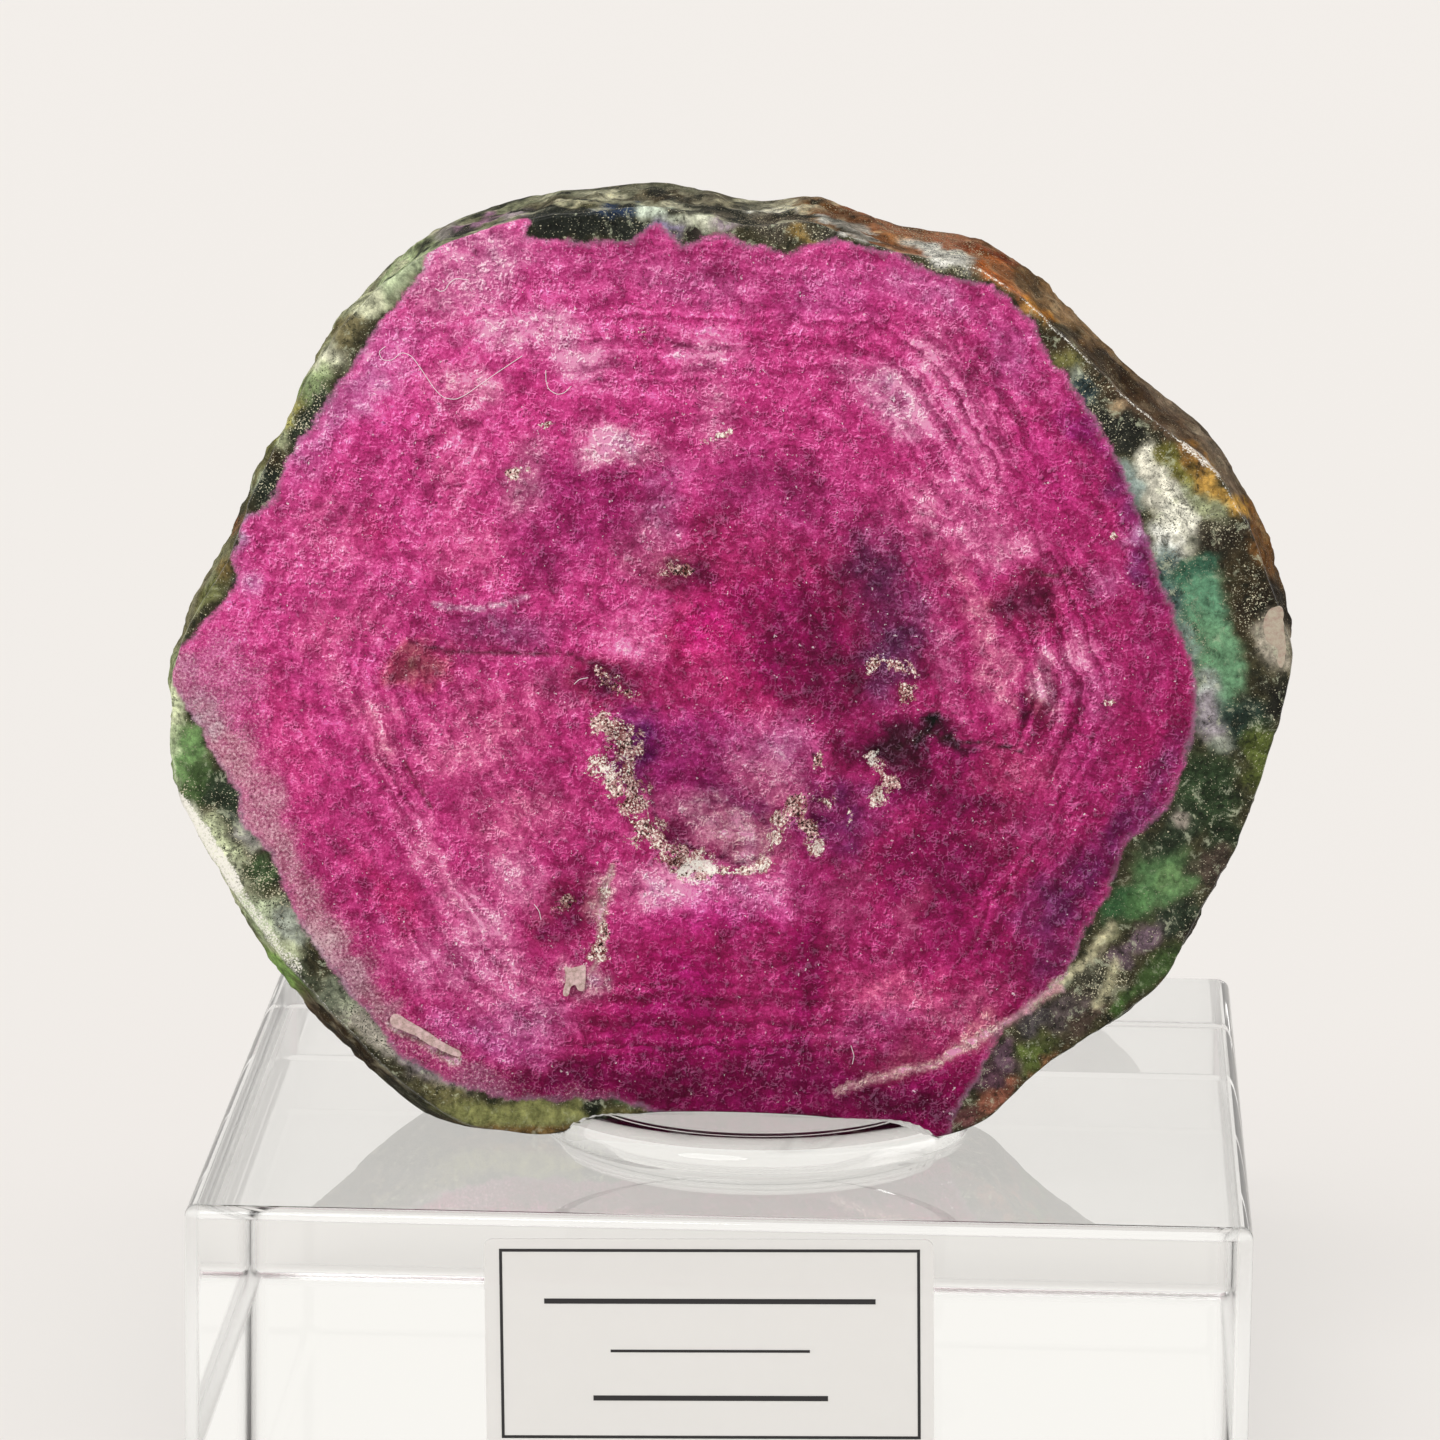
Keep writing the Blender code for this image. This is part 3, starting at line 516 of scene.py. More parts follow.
rimZones = [
    # upper left, pale zoisite
    (-19.6, 65.7, 3.0, 1.2, 42, "becf9e", 1), (-21.5, 63.9, 1.2, 1.0, 50, "cdd0a8", 1),
    (-22.5, 62.3, 1.0, 0.8, 50, "7a7048", 0.9), (-24.0, 60.5, 1.3, 1.0, 52, "d6d6b4", 1),
    (-24.2, 59.2, 1.4, 0.9, 58, "96af6e", 0.9), (-24.4, 57.4, 2.0, 0.6, 62, "2c3628", 1),
    (-26.0, 57.0, 1.8, 0.5, 65, "a09a48", 1), (-26.2, 55.8, 0.9, 0.6, 60, "b6bf8e", 0.9),
    (-26.7, 54.4, 0.9, 0.8, 60, "382c18", 1), (-27.9, 53.6, 0.5, 0.8, -30, "bec8a5", 1),
    (-26.9, 52.9, 1.1, 1.0, 60, "262e24", 1), (-28.9, 51.0, 0.4, 1.0, -25, "9a6a4a", 0.8),
    (-29.7, 48.3, 0.9, 0.7, 60, "6e5a2c", 1), (-28.6, 47.8, 0.6, 0.5, 0, "32423e", 1),
    (-30.5, 46.7, 1.4, 0.7, 55, "707440", 1), (-31.5, 45.2, 1.2, 0.6, 55, "b2b480", 1),
    # left, bright green
    (-32.5, 40.6, 0.8, 2.2, 0, "ced8a6", 1), (-31.5, 37.4, 1.2, 1.9, 0, "6c9852", 1),
    (-32.4, 37.6, 0.4, 1.6, 0, "c4d8a0", 0.8),
    (-30.5, 35.7, 1.2, 1.1, 0, "425e2e", 1), (-29.2, 34.8, 0.9, 1.9, 22, "283624", 1),
    (-31.6, 33.8, 1.2, 1.0, -55, "dfe2c8", 1), (-29.8, 31.8, 2.2, 1.2, -58, "c2cc9c", 1),
    (-27.8, 33.0, 0.9, 1.1, 0, "9c9a90", 1), (-27.2, 30.6, 0.8, 1.1, 25, "3e5630", 1),
    (-28.6, 29.4, 2.6, 0.8, -58, "d4dab2", 1), (-27.0, 27.6, 2.0, 1.1, -55, "bccaa0", 1),
    (-25.5, 27.3, 0.8, 1.2, 30, "98a090", 1), (-25.9, 25.8, 1.1, 0.8, -48, "c0ca9c", 1),
    (-24.8, 24.6, 0.9, 0.5, -42, "4a543e", 0.8), (-22.6, 23.2, 1.6, 0.9, -42, "727a62", 1),
    (-20.6, 21.2, 2.2, 0.9, -36, "aca494", 1), (-17.2, 18.9, 2.2, 0.7, -30, "968790", 1),
    # bottom left, olive
    (-16.3, 17.5, 2.0, 0.8, -25, "6e683c", 1), (-12.5, 16.6, 5.2, 0.9, 0, "868848", 1),
    (-11.5, 15.5, 5.0, 0.4, 0, "7c5c2c", 1), (-8.2, 17.2, 0.6, 0.6, 0, "22281c", 1),
    (-6.2, 17.6, 1.0, 0.4, 0, "5a6e46", 1), (-6.6, 16.5, 2.2, 0.5, 15, "6e6838", 1),
    # top, hornblende with white and blue
    (-18.1, 67.4, 1.1, 0.4, 25, "9aa57a", 1), (-16.7, 68.5, 1.3, 0.4, 24, "a39c98", 0.9),
    (-14.9, 69.0, 1.5, 0.4, 18, "c08cb0", 0.9), (-13.1, 69.4, 1.2, 0.4, 14, "b9a8b0", 0.9),
    (-9.8, 68.8, 2.6, 1.2, 0, "20241e", 1), (-7.3, 69.7, 1.4, 0.5, 0, "1c3050", 1),
    (-6.7, 68.3, 1.6, 0.7, 0, "262a24", 1), (-9.8, 70.2, 2.2, 0.35, 6, "d8d4b0", 1),
    (-8.6, 69.9, 1.7, 0.2, 4, "5c5838", 0.8), (-5.0, 70.8, 1.3, 0.3, 0, "3c3420", 1),
    (-4.8, 70.3, 1.1, 0.25, 0, "8c8a70", 0.8), (-4.9, 69.4, 1.2, 0.5, -10, "cddcc4", 1),
    (-2.6, 68.8, 1.4, 0.5, -10, "cccfb4", 1), (-0.9, 68.9, 0.7, 0.5, 0, "b09aa8", 1),
    (-4.5, 68.2, 0.9, 0.7, 0, "a99cce", 1), (-2.9, 68.1, 1.0, 0.3, 0, "342c28", 0.9),
    (-2.1, 69.8, 2.2, 0.5, -4, "34362e", 0.95), (0.3, 69.3, 1.6, 0.6, 0, "4a463a", 0.95),
    (2.2, 68.9, 1.9, 1.2, 0, "4e463a", 0.95), (3.4, 68.2, 0.7, 0.5, 0, "a8843c", 0.9),
    (-1.9, 70.4, 1.4, 0.25, -4, "c8c6a4", 1), (1.0, 70.1, 1.8, 0.25, 0, "eae6d2", 1),
    (3.7, 70.1, 1.3, 0.35, -14, "8c5a2c", 1), (5.9, 69.4, 1.6, 0.35, -24, "9a5830", 1),
    (5.2, 69.2, 1.4, 0.25, -30, "e6e6de", 1), (6.6, 68.5, 1.3, 0.3, -20, "c8c4bc", 0.9),
    (4.6, 68.3, 1.0, 0.4, 0, "4a463c", 0.8), (7.9, 69.0, 1.3, 0.3, -18, "8a5634", 1),
    (9.2, 68.2, 1.9, 0.5, -24, "bc8252", 1), (8.4, 69.2, 3.2, 0.5, -20, "8c502e", 1),
    (11.4, 67.2, 2.5, 0.6, -20, "dedcd2", 1), (13.0, 67.8, 2.6, 0.5, -18, "965436", 1),
    (15.0, 65.9, 2.3, 0.5, -45, "ba6832", 1), (17.0, 63.9, 1.5, 0.5, -50, "c88636", 1),
    # upper right, dark with gold, white and sage
    (18.4, 62.6, 1.3, 0.9, -48, "362a18", 1), (18.8, 61.3, 0.9, 0.8, -50, "767238", 1),
    (18.9, 60.2, 0.7, 0.5, -50, "969e8c", 1), (19.7, 59.5, 0.9, 0.7, -50, "324648", 1),
    (21.2, 60.2, 3.4, 1.0, -44, "4c3a26", 1), (21.6, 57.6, 1.6, 1.0, -50, "242620", 1),
    (24.2, 57.8, 3.4, 1.0, -40, "5a4430", 1), (21.6, 58.8, 0.5, 0.5, 0, "ceaa7a", 0.7),
    (23.2, 55.4, 0.7, 1.2, 10, "ece8d0", 1), (22.4, 54.2, 0.6, 1.5, 24, "8ca098", 1),
    (24.7, 55.7, 1.1, 0.7, -50, "686422", 1), (24.0, 54.0, 1.0, 1.3, 20, "ece8d0", 1),
    (25.4, 52.4, 1.3, 1.7, 10, "eae8d2", 1), (24.3, 50.8, 0.9, 1.4, 18, "ecece0", 1),
    (25.6, 55.0, 1.4, 0.7, -45, "767028", 1), (26.2, 55.7, 1.5, 0.5, -45, "9c6a28", 0.9),
    (27.8, 53.7, 1.5, 0.6, -45, "d09a38", 0.95), (26.9, 52.9, 1.7, 0.8, -45, "a2aa7a", 1),
    (28.2, 50.4, 2.2, 1.7, -40, "2e261c", 1), (28.9, 47.8, 1.6, 3.0, 8, "3a301c", 1),
    (29.9, 51.4, 0.7, 2.6, 18, "744a1e", 1), (30.4, 47.2, 1.4, 1.4, 0, "282014", 1),
    # right, emerald zoisite
    (24.9, 48.2, 0.8, 2.6, 14, "425c58", 1), (25.7, 45.2, 0.6, 2.0, 10, "6e8278", 1),
    (26.7, 47.6, 1.4, 2.6, 16, "56906a", 1), (26.2, 49.6, 1.0, 0.9, 0, "34664c", 1),
    (27.6, 43.5, 1.4, 3.2, 8, "649a6c", 1), (31.0, 45.1, 1.1, 1.6, 14, "a89e8a", 1),
    (31.2, 42.0, 0.9, 1.3, 0, "1e1e18", 1), (29.3, 40.5, 1.4, 1.5, 0, "24382e", 1),
    (27.1, 41.0, 1.1, 1.6, 0, "988e96", 1), (26.8, 42.8, 0.7, 0.8, 0, "b0bab0", 1),
    (27.8, 39.2, 0.9, 0.6, 0, "969b8c", 1), (30.3, 38.4, 1.0, 2.0, 12, "586626", 1),
    # lower right, deep green
    (27.3, 36.4, 1.9, 2.4, 10, "2c4024", 1), (25.2, 34.0, 2.1, 0.9, 45, "2c3a26", 1),
    (28.2, 34.1, 1.2, 1.1, 60, "26361f", 1), (27.6, 32.2, 1.4, 0.9, 55, "45382e", 1),
    (25.4, 34.8, 0.7, 0.3, 20, "9a8c80", 0.9), (24.6, 31.0, 2.3, 1.4, 50, "507c46", 1),
    (22.4, 29.6, 1.3, 1.0, 45, "2f5a30", 1), (25.2, 31.4, 0.9, 0.7, 40, "709a58", 0.7),
    (23.6, 29.9, 0.8, 0.6, 40, "568848", 0.7), (26.0, 29.2, 1.4, 0.8, 50, "2c3a28", 1),
    (26.6, 28.2, 0.8, 0.5, 40, "2c241c", 1), (23.9, 27.9, 1.4, 0.6, 22, "6e5664", 1),
    (22.4, 26.9, 0.9, 0.5, 30, "6a5260", 0.9), (21.7, 28.0, 1.0, 0.24, 38, "84845f", 0.8),
    (21.3, 27.1, 0.8, 0.25, 50, "78705a", 0.8), (20.0, 26.2, 0.8, 0.22, 45, "a8a284", 0.8),
    (19.6, 25.4, 0.8, 0.3, 45, "606852", 0.9), (20.8, 25.6, 0.9, 0.8, 40, "4a4838", 1),
    (22.0, 24.8, 1.0, 0.28, 55, "84846a", 0.9), (24.1, 25.6, 2.5, 0.8, 45, "3c5626", 1),
    (25.3, 24.8, 1.5, 0.3, 50, "8c6a34", 0.9), (22.4, 23.6, 0.9, 0.5, 45, "3c5c24", 1),
    (20.5, 24.4, 0.9, 0.7, 40, "4a4234", 0.9), (19.3, 23.4, 1.5, 0.8, 40, "5a4c4c", 1),
    (17.6, 22.6, 1.1, 0.7, 30, "4e4648", 1), (20.4, 22.6, 1.5, 0.6, 40, "4a3a30", 1),
    (17.6, 20.8, 1.3, 0.8, 35, "5a6a2a", 1), (15.8, 20.4, 1.0, 1.0, 30, "664658", 1),
    (14.8, 19.0, 1.0, 0.9, 30, "5c3848", 1), (18.4, 20.2, 1.4, 0.35, 40, "94603a", 0.8),
    (15.6, 18.2, 1.6, 0.5, 40, "8a4c38", 1), (13.2, 16.8, 1.6, 0.6, 20, "6e3c3c", 1),
    (18.6, 24.8, 0.8, 0.3, 35, "a8a0ac", 0.8), (17.2, 23.6, 0.9, 0.3, 35, "a48ca0", 0.8),
]

# weathered skin on the natural edge, by direction: degrees, then colour
skinTones = [
    (0, "4a3a28"), (14, "5a4630"), (30, "74624e"), (42, "8a6a46"), (54, "80603c"), (64, "925a3c"),
    (76, "8e5c34"), (88, "82806c"), (104, "6e6e58"), (120, "8d9072"), (140, "a9ad86"), (152, "8c8c50"),
    (166, "5c5838"), (178, "b8bd93"), (190, "8fae60"), (206, "90b35c"), (217, "96be64"), (221, "4c3c28"),
    (238, "3c3022"), (250, "5a4c30"), (270, "5e5636"), (290, "6a4430"), (310, "4c4028"), (330, "342c20"),
    (345, "4c4a2c"), (360, "4a3a28"),
]

# how strongly the skin's tones vary, and how far the stains and blotches cover it
skinLook = {
    "broad": 0.10,
    "fine": 0.07,
    "stain": ("3a2c1c", 0.45),
    "darkBlots": ("22241e", 0.85),
    "paleBlots": ("d8d4b6", 0.8),
}

# where the skin is blotched dark and cream, by direction: degrees, then share
blotShare = [(0, 0.3), (66, 0.3), (82, 1.0), (126, 1.0), (138, 0.4), (180, 0.3), (214, 0.2), (224, 0.8),
             (250, 0.8), (262, 0.2), (360, 0.3)]

# places full of fine white flecks: across, up, half length, half width, turn, strength
fleckZones = [
    (8.8, 43.0, 1.7, 1.7, 0, 1.0), (-15.5, 20.8, 4.2, 1.8, -22, 0.9), (-12.8, 53.8, 1.5, 1.5, 0, 0.6),
    (-19.4, 54.4, 1.2, 1.2, 0, 0.6), (-7.0, 31.0, 1.8, 1.6, 0, 0.6), (2.4, 68.9, 3.0, 1.5, 0, 0.65),
    (-6.0, 69.4, 4.0, 1.0, 0, 0.55), (11.5, 67.0, 3.2, 1.0, -20, 1.0), (6.6, 69.0, 2.6, 0.8, -28, 0.9),
    (-28.4, 30.4, 5.0, 1.5, -57, 1.0), (-21.0, 21.6, 3.0, 1.1, -38, 0.9), (-24.6, 58.0, 3.2, 1.0, 62, 0.9),
    (23.6, 54.0, 3.4, 1.6, -62, 0.8), (26.6, 52.4, 2.6, 1.6, -50, 0.8), (-6.9, 38.0, 1.2, 2.0, 0, 1.0),
    (-3.4, 32.4, 2.2, 1.0, -30, 1.0), (4.9, 34.4, 1.0, 1.8, 0, 0.9), (8.3, 36.8, 0.8, 1.8, 0, 0.7),
    (-13.5, 65.4, 2.0, 1.6, 0, 0.7), (-29.6, 39.6, 2.0, 3.4, 20, 0.5), (14.4, 22.0, 3.4, 1.0, 34, 0.6),
    (26.3, 45.6, 1.0, 4.0, 8, 0.9), (29.4, 47.4, 1.2, 3.6, 10, 0.7), (25.0, 50.8, 1.6, 2.0, 0, 0.6),
    (20.4, 58.6, 1.4, 2.6, 40, 0.7), (21.4, 26.0, 1.0, 2.0, -30, 0.9), (-31.9, 37.8, 0.7, 2.4, 0, 1.0),
    (-26.6, 53.4, 1.6, 2.4, -20, 0.7), (-29.6, 34.2, 1.4, 1.4, 0, 0.6), (9.6, 67.8, 3.0, 1.0, -24, 0.9),
    (-9.4, 28.8, 1.8, 1.4, 0, 0.8), (-32.2, 36.4, 0.6, 1.6, 0, 1.0), (-3.0, 64.0, 4.0, 1.5, 0, 0.4),
]

# beds of grains: across, up, half length, half width, turn, share of dark grains
crumbBeds = [
    (-7.2, 39.5, 0.95, 0.60, -35, 0.30), (-6.3, 38.6, 0.80, 0.75, -35, 0.60),
    (-7.5, 37.1, 0.90, 0.60, -10, 0.05),
    (-5.7, 35.2, 0.75, 1.10, 20, 0.60), (-7.0, 36.2, 0.40, 0.60, 0, 0.25),
    (-5.0, 33.5, 0.95, 0.70, -45, 0.45), (-3.2, 31.9, 0.85, 0.60, -20, 0.85),
    (-1.9, 31.6, 0.75, 0.50, 10, 0.05),
    (-2.4, 30.9, 0.85, 0.27, 0, 0.45), (-0.6, 31.2, 0.70, 0.22, 0, 0.40), (0.7, 31.3, 0.60, 0.20, 0, 0.20),
    (1.8, 31.7, 0.55, 0.30, 25, 0.15), (2.4, 33.3, 0.26, 0.70, 0, 0.15), (3.6, 35.0, 1.00, 0.50, 40, 0.85),
    (4.5, 33.8, 0.40, 0.70, 20, 0.80), (4.9, 32.6, 0.30, 0.50, 30, 0.15), (5.3, 35.3, 0.45, 0.25, 0, 0.35),
    (8.2, 37.6, 0.40, 0.60, 15, 0.15), (8.3, 35.8, 0.38, 0.55, 0, 0.20), (8.9, 36.7, 0.55, 0.30, 0, 0.50),
    (6.7, 34.6, 0.17, 0.40, 0, 0.20), (7.9, 43.6, 0.35, 0.50, -40, 0.30), (9.6, 43.3, 0.65, 0.34, -20, 0.35),
    (9.9, 41.9, 0.55, 0.40, -60, 0.55), (4.8, 37.8, 0.20, 0.45, 10, 0.80),
    (-6.8, 42.0, 1.00, 0.30, -30, 0.95),
    (-7.3, 29.8, 0.36, 0.34, 0, 0.20), (-9.6, 29.1, 0.60, 0.30, 20, 0.85), (-7.3, 27.6, 0.35, 0.80, 0, 0.45),
    (-7.6, 26.3, 0.45, 0.50, 20, 0.30), (-3.4, 48.8, 0.80, 0.30, 0, 0.90), (-1.0, 56.6, 0.75, 0.20, 32, 0.15),
    (-10.9, 57.0, 0.25, 0.18, -15, 0.10), (-5.4, 62.4, 0.35, 0.22, -20, 0.20),
    (21.5, 51.4, 0.35, 0.20, 40, 0.20),
    (21.7, 41.6, 0.35, 0.15, 0, 0.10), (-12.5, 54.2, 0.50, 0.30, 40, 0.30),
    (-6.2, 36.6, 0.60, 0.60, 0, 0.55), (-4.2, 32.6, 0.55, 0.35, -45, 0.30), (2.9, 34.1, 0.50, 0.60, 0, 0.40),
]

# smooth zoisite with few grains: across, up, half length, half width, turn
calmZones = [
    (27.4, 46.6, 1.8, 5.2, 12), (24.2, 31.0, 3.2, 1.9, 50), (-31.3, 37.6, 1.3, 1.6, 0),
    (24.4, 25.2, 2.2, 1.4, 50), (-19.4, 65.8, 3.0, 1.3, 42), (-12.5, 16.4, 5.0, 0.9, 0),
    (22.6, 54.6, 0.8, 1.8, 24),
]

# how bright the painted highlight along the sawn face's polished edge is, by direction: degrees, then share
edgeHighlightByAngle = [
    (0, 0.4), (8, 0.3), (22, 0.8), (30, 1.0), (56, 1.0), (72, 0.7), (84, 0.3), (120, 0.3), (150, 0.45),
    (165, 0.2), (186, 0.3), (194, 0.9), (214, 0.9), (226, 0.8), (240, 0.5), (250, 0.1), (300, 0.1),
    (330, 0.2), (360, 0.4),
]

# painted glare on the polished edges, then real white lumps: points, half width, strength
glareAndWhiteLumps = [
    ([(-31.9, 34.8), (-30.7, 33.0), (-29.6, 31.2), (-28.6, 29.6)], 0.42, 1.0),
    ([(-28.6, 29.6), (-27.5, 27.9), (-26.4, 26.3), (-25.2, 25.0)], 0.45, 0.62),
    ([(25.4, 56.6), (26.0, 56.1), (26.9, 55.3), (27.4, 54.9)], 0.26, 0.66),
    ([(7.0, 69.1), (9.4, 68.5), (11.8, 67.6), (13.4, 66.8)], 0.22, 0.55),
    # white lumps beside the hollow
    ([(-2.9, 31.0), (-2.2, 31.5), (-1.5, 31.5), (-1.1, 31.2)], 0.36, 0.9),
    ([(-2.5, 30.6), (-2.1, 30.4)], 0.22, 0.7),
    ([(-0.6, 31.2), (0.2, 31.0), (0.6, 31.2)], 0.11, 0.65),
    ([(1.2, 31.3), (1.6, 31.4), (2.0, 31.8)], 0.18, 0.72),
    ([(8.1, 38.2), (8.0, 37.6)], 0.30, 0.7), ([(8.4, 35.7), (8.0, 35.3)], 0.24, 0.6),
    ([(-7.9, 36.9), (-7.0, 37.2), (-7.0, 36.5)], 0.34, 0.6), ([(4.9, 32.9), (5.1, 32.4)], 0.18, 0.62),
    ([(2.3, 34.0), (2.35, 33.0)], 0.14, 0.6), ([(-7.3, 30.0), (-7.2, 29.7)], 0.22, 0.6),
]


def zoneShare(points, x, z, long, short, turn, soft):  # 1 inside a turned ellipse, easing to 0 at its edge
    angle = math.radians(turn)
    across, up = points[:, 0] - x, points[:, 1] - z
    u = (across * math.cos(angle) + up * math.sin(angle)) / long
    v = (up * math.cos(angle) - across * math.sin(angle)) / short
    return smooth((1 + soft - np.hypot(u, v)) / (2 * soft))


def paintZones(colour, points, zones, soft, broken=1.0):
    for x, z, long, short, turn, hexColour, strength in zones:
        share = strength * zoneShare(points, x, z, long, short, turn, soft) * broken
        colour += (tone(hexColour) - colour) * share[:, None]
    return colour


def slabColours(places, onSkin, edgeHighlightSteps):  # ruby colour, rim colour and shares for the shader, at every point
    flat = places[:, [0, 2]]
    spot = places * np.array([1.0, 0.45, 1.0])
    wide = np.stack([softNoise(spot, 2.6, s) for s in (20, 21)], axis=1)
    near = np.stack([softNoise(spot, 1.0, s) for s in (22, 23)], axis=1)
    fine = np.stack([softNoise(spot, 0.45, s) for s in (24, 25)], axis=1)

    rubyAt = flat + 0.60 * wide + 0.55 * near + 0.30 * fine
    slope = np.clip(0.5 + 0.012 * flat[:, 0] - 0.012 * (flat[:, 1] - 43), 0, 1)[:, None]
    ruby = tone(rubyBase[0]) * (1 - slope) + tone(rubyBase[1]) * slope
    broken = 1 - 0.40 * smooth(0.5 + 0.9 * softNoise(spot, 0.75, 30) + 0.5 * softNoise(spot, 0.4, 31))
    ruby = paintZones(ruby, rubyAt, rubyZones, 0.75, broken)

    away = ruby - tone(crystal["average"])
    ruby = tone(crystal["level"]) + away * crystal["depth"] * np.where(away > 0, 1, crystal["darkDepth"])
    ruby = np.clip(ruby, 0.03, 0.98)
    ruby[:, 2] = np.clip(ruby[:, 2], 0.55 * ruby[:, 0], 0.9 * ruby[:, 0])
    ruby[:, 1] = np.minimum(ruby[:, 1], 0.74 * ruby[:, 2])
    ruby = np.minimum(ruby, tone(crystal["palest"]))
    halo = paintZones(ruby.copy(), rubyAt, haloZones, 0.5)
    haloShare = np.zeros(len(flat))
    for x, z, long, short, turn, _, strength in haloZones:
        haloShare = np.maximum(haloShare, strength * zoneShare(rubyAt, x, z, long, short, turn, 0.75))

    rimAt = flat + 0.25 * wide + 0.45 * near + 0.30 * fine
    rim = np.tile(tone(rimBase), (len(flat), 1))
    rim = paintZones(rim, rimAt, rimZones, 0.42)
    rim += (rim.mean(axis=1, keepdims=True) - rim) * 0.22  # duller than each zone alone

    depth = places[:, 1] - slab["front"]
    skin = byAngle(flat, [(a, *tone(h)) for a, h in skinTones])
    slanted = rimAt + depth[:, None] * np.array([-0.04, 0.21])  # zones run back along the skin
    skin = paintZones(skin, slanted, rimZones, 0.25)
    skin = skin + (skinLook["broad"] * softNoise(places, 2.2, 26)
                   + skinLook["fine"] * softNoise(places, 0.9, 27))[:, None]
    blots = softNoise(places, 1.3, 32) + 0.8 * softNoise(places, 0.55, 33)
    crest = byAngle(flat, blotShare)
    for kind, where in (("stain", smooth(softNoise(places, 3.4, 28) * 2.2 - 0.4)[:, None]),
                        ("darkBlots", smooth(1.6 * blots - 0.1)[:, None] * crest),
                        ("paleBlots", smooth(-1.6 * blots - 0.4)[:, None] * crest)):
        hexColour, strength = skinLook[kind]
        skin = skin + (tone(hexColour) - skin) * where * strength
    foot = smooth((flat[:, 1] - 17.2) / 1.2)

    lineAt = flat + 0.10 * near + 0.10 * fine
    drawn = (depth < 2.0)
    for line, half, _, hexColour in veins:
        share = (smooth(1.25 - lineDistance(lineAt, line) / half) * drawn)[:, None] * 0.85
        ruby += (tone(hexColour) - ruby) * share
        rim += (tone(hexColour) - rim) * share

    # painted highlight along the polished edge, where the sawn face meets the skin: by direction, how much
    white = byAngle(flat, edgeHighlightByAngle)[:, 0]
    patchy = smooth(softNoise(places, 1.6, 29) * 1.1 + 0.9)
    highlightAndLumps = edgeHighlightSteps * white * patchy
    fading = smooth((1.3 - depth - 0.35 * near[:, 0]) / 0.8)
    # painted glare on the polished edges, and the real white lumps beside the hollow
    for line, half, strength in glareAndWhiteLumps:
        highlightAndLumps = np.maximum(highlightAndLumps, strength * smooth(1.5 - lineDistance(lineAt, line) / half) * fading)

    crumbShare = np.zeros(len(flat))
    crumbDark = np.full(len(flat), 0.35)
    for x, z, long, short, turn, darkShare in crumbBeds:
        share = zoneShare(lineAt + 0.12 * fine, x, z, long * 1.25, short * 1.4, turn, 0.9) * drawn
        crumbDark += (darkShare - crumbDark) * share
        crumbShare = np.maximum(crumbShare, share)
    bandShare = np.full(len(flat), 0.22)
    for x, z, long, short, turn, strength in bandZones:
        bandShare = np.maximum(bandShare, strength * zoneShare(rubyAt, x, z, long, short, turn, 0.6))
    calm = np.zeros(len(flat))
    for x, z, long, short, turn in calmZones:
        calm = np.maximum(calm, zoneShare(rimAt, x, z, long, short, turn, 0.4))

    rubyDistance = signedDistance(flat + 0.16 * near + 0.12 * fine, rubyEdge)
    flecks = np.full(len(flat), 0.28)
    for x, z, long, short, turn, strength in fleckZones:
        flecks = np.maximum(flecks, strength * zoneShare(rubyAt, x, z, long, short, turn, 0.4))
    # distance from the crystal's middle, measured over its six sides and rounded at the corners
    fromMiddle = flat - np.array(crystal["middle"])
    sides = [np.abs(fromMiddle @ np.array(s)) for s in ((0, 1), (0.866, 0.5), (0.866, -0.5))]
    growth = sum(side ** crystal["cornering"] for side in sides) ** (1 / crystal["cornering"])
    rough = np.maximum(onSkin, smooth(frontRelief(flat) / 0.25) * (depth < 2.0) * 0.6)
    return {
        "rubyTone": linearOf(ruby), "haloTone": linearOf(halo), "haloShare": haloShare,
        "rimTone": linearOf(rim), "skinTone": linearOf(skin),
        "shares": np.stack([onSkin * foot, flecks, rough], axis=1),
        "marks": np.stack([crumbShare, highlightAndLumps, calm], axis=1),
        "crumbDark": crumbDark, "rubyDistance": rubyDistance, "growth": growth, "bandShare": bandShare,
    }


# the stone's noises: what they run on, lumps per mm, detail, roughness, distortion
stoneGrain = {
    "clouds": ("curled", 0.40, 5.0, 0.62, 0.3),
    "tufts": ("curled", 1.25, 5.0, 0.66, 0.3),
    "sawn": ("level", 1.0, 3.0, 0.6, 0.0),
    "grains": ("plain", 6.0, 3.0, 0.74, 0.0),
    "patches": ("plain", 0.55, 3.0, 0.7, 0.0),
    "dust": ("plain", 3.9, 2.0, 0.6, 0.0),
    "crystals": ("plain", 2.1, 7.0, 0.78, 0.0),
    "hornblende": ("curled", 1.2, 7.0, 0.78, 0.2),
    "pepper": ("plain", 9.5, 2.0, 0.65, 0.0),
    "clumps": ("plain", 1.5, 6.0, 0.75, 0.5),
    "sugar": ("plain", 6.5, 2.0, 0.7, 0.0),
    "skin": ("plain", 2.6, 8.0, 0.78, 0.0),
}


def stained(tree, colour, stain, field, low, high, most=1.0, within=None):
    # goes over to the stain as the field passes from low to high, and only within a share
    share = addNode(tree, "ShaderNodeMapRange", {
        "Value": field, "From Min": low, "From Max": high, "To Max": most}).outputs[0]
    if within is not None:
        share = addNode(tree, "ShaderNodeMath", {0: share, 1: within}, operation="MULTIPLY").outputs[0]
    if isinstance(stain, str):
        stain = (*linear(stain), 1)
    return addNode(tree, "ShaderNodeMix", {0: share, 6: colour, 7: stain}, data_type="RGBA").outputs[2]


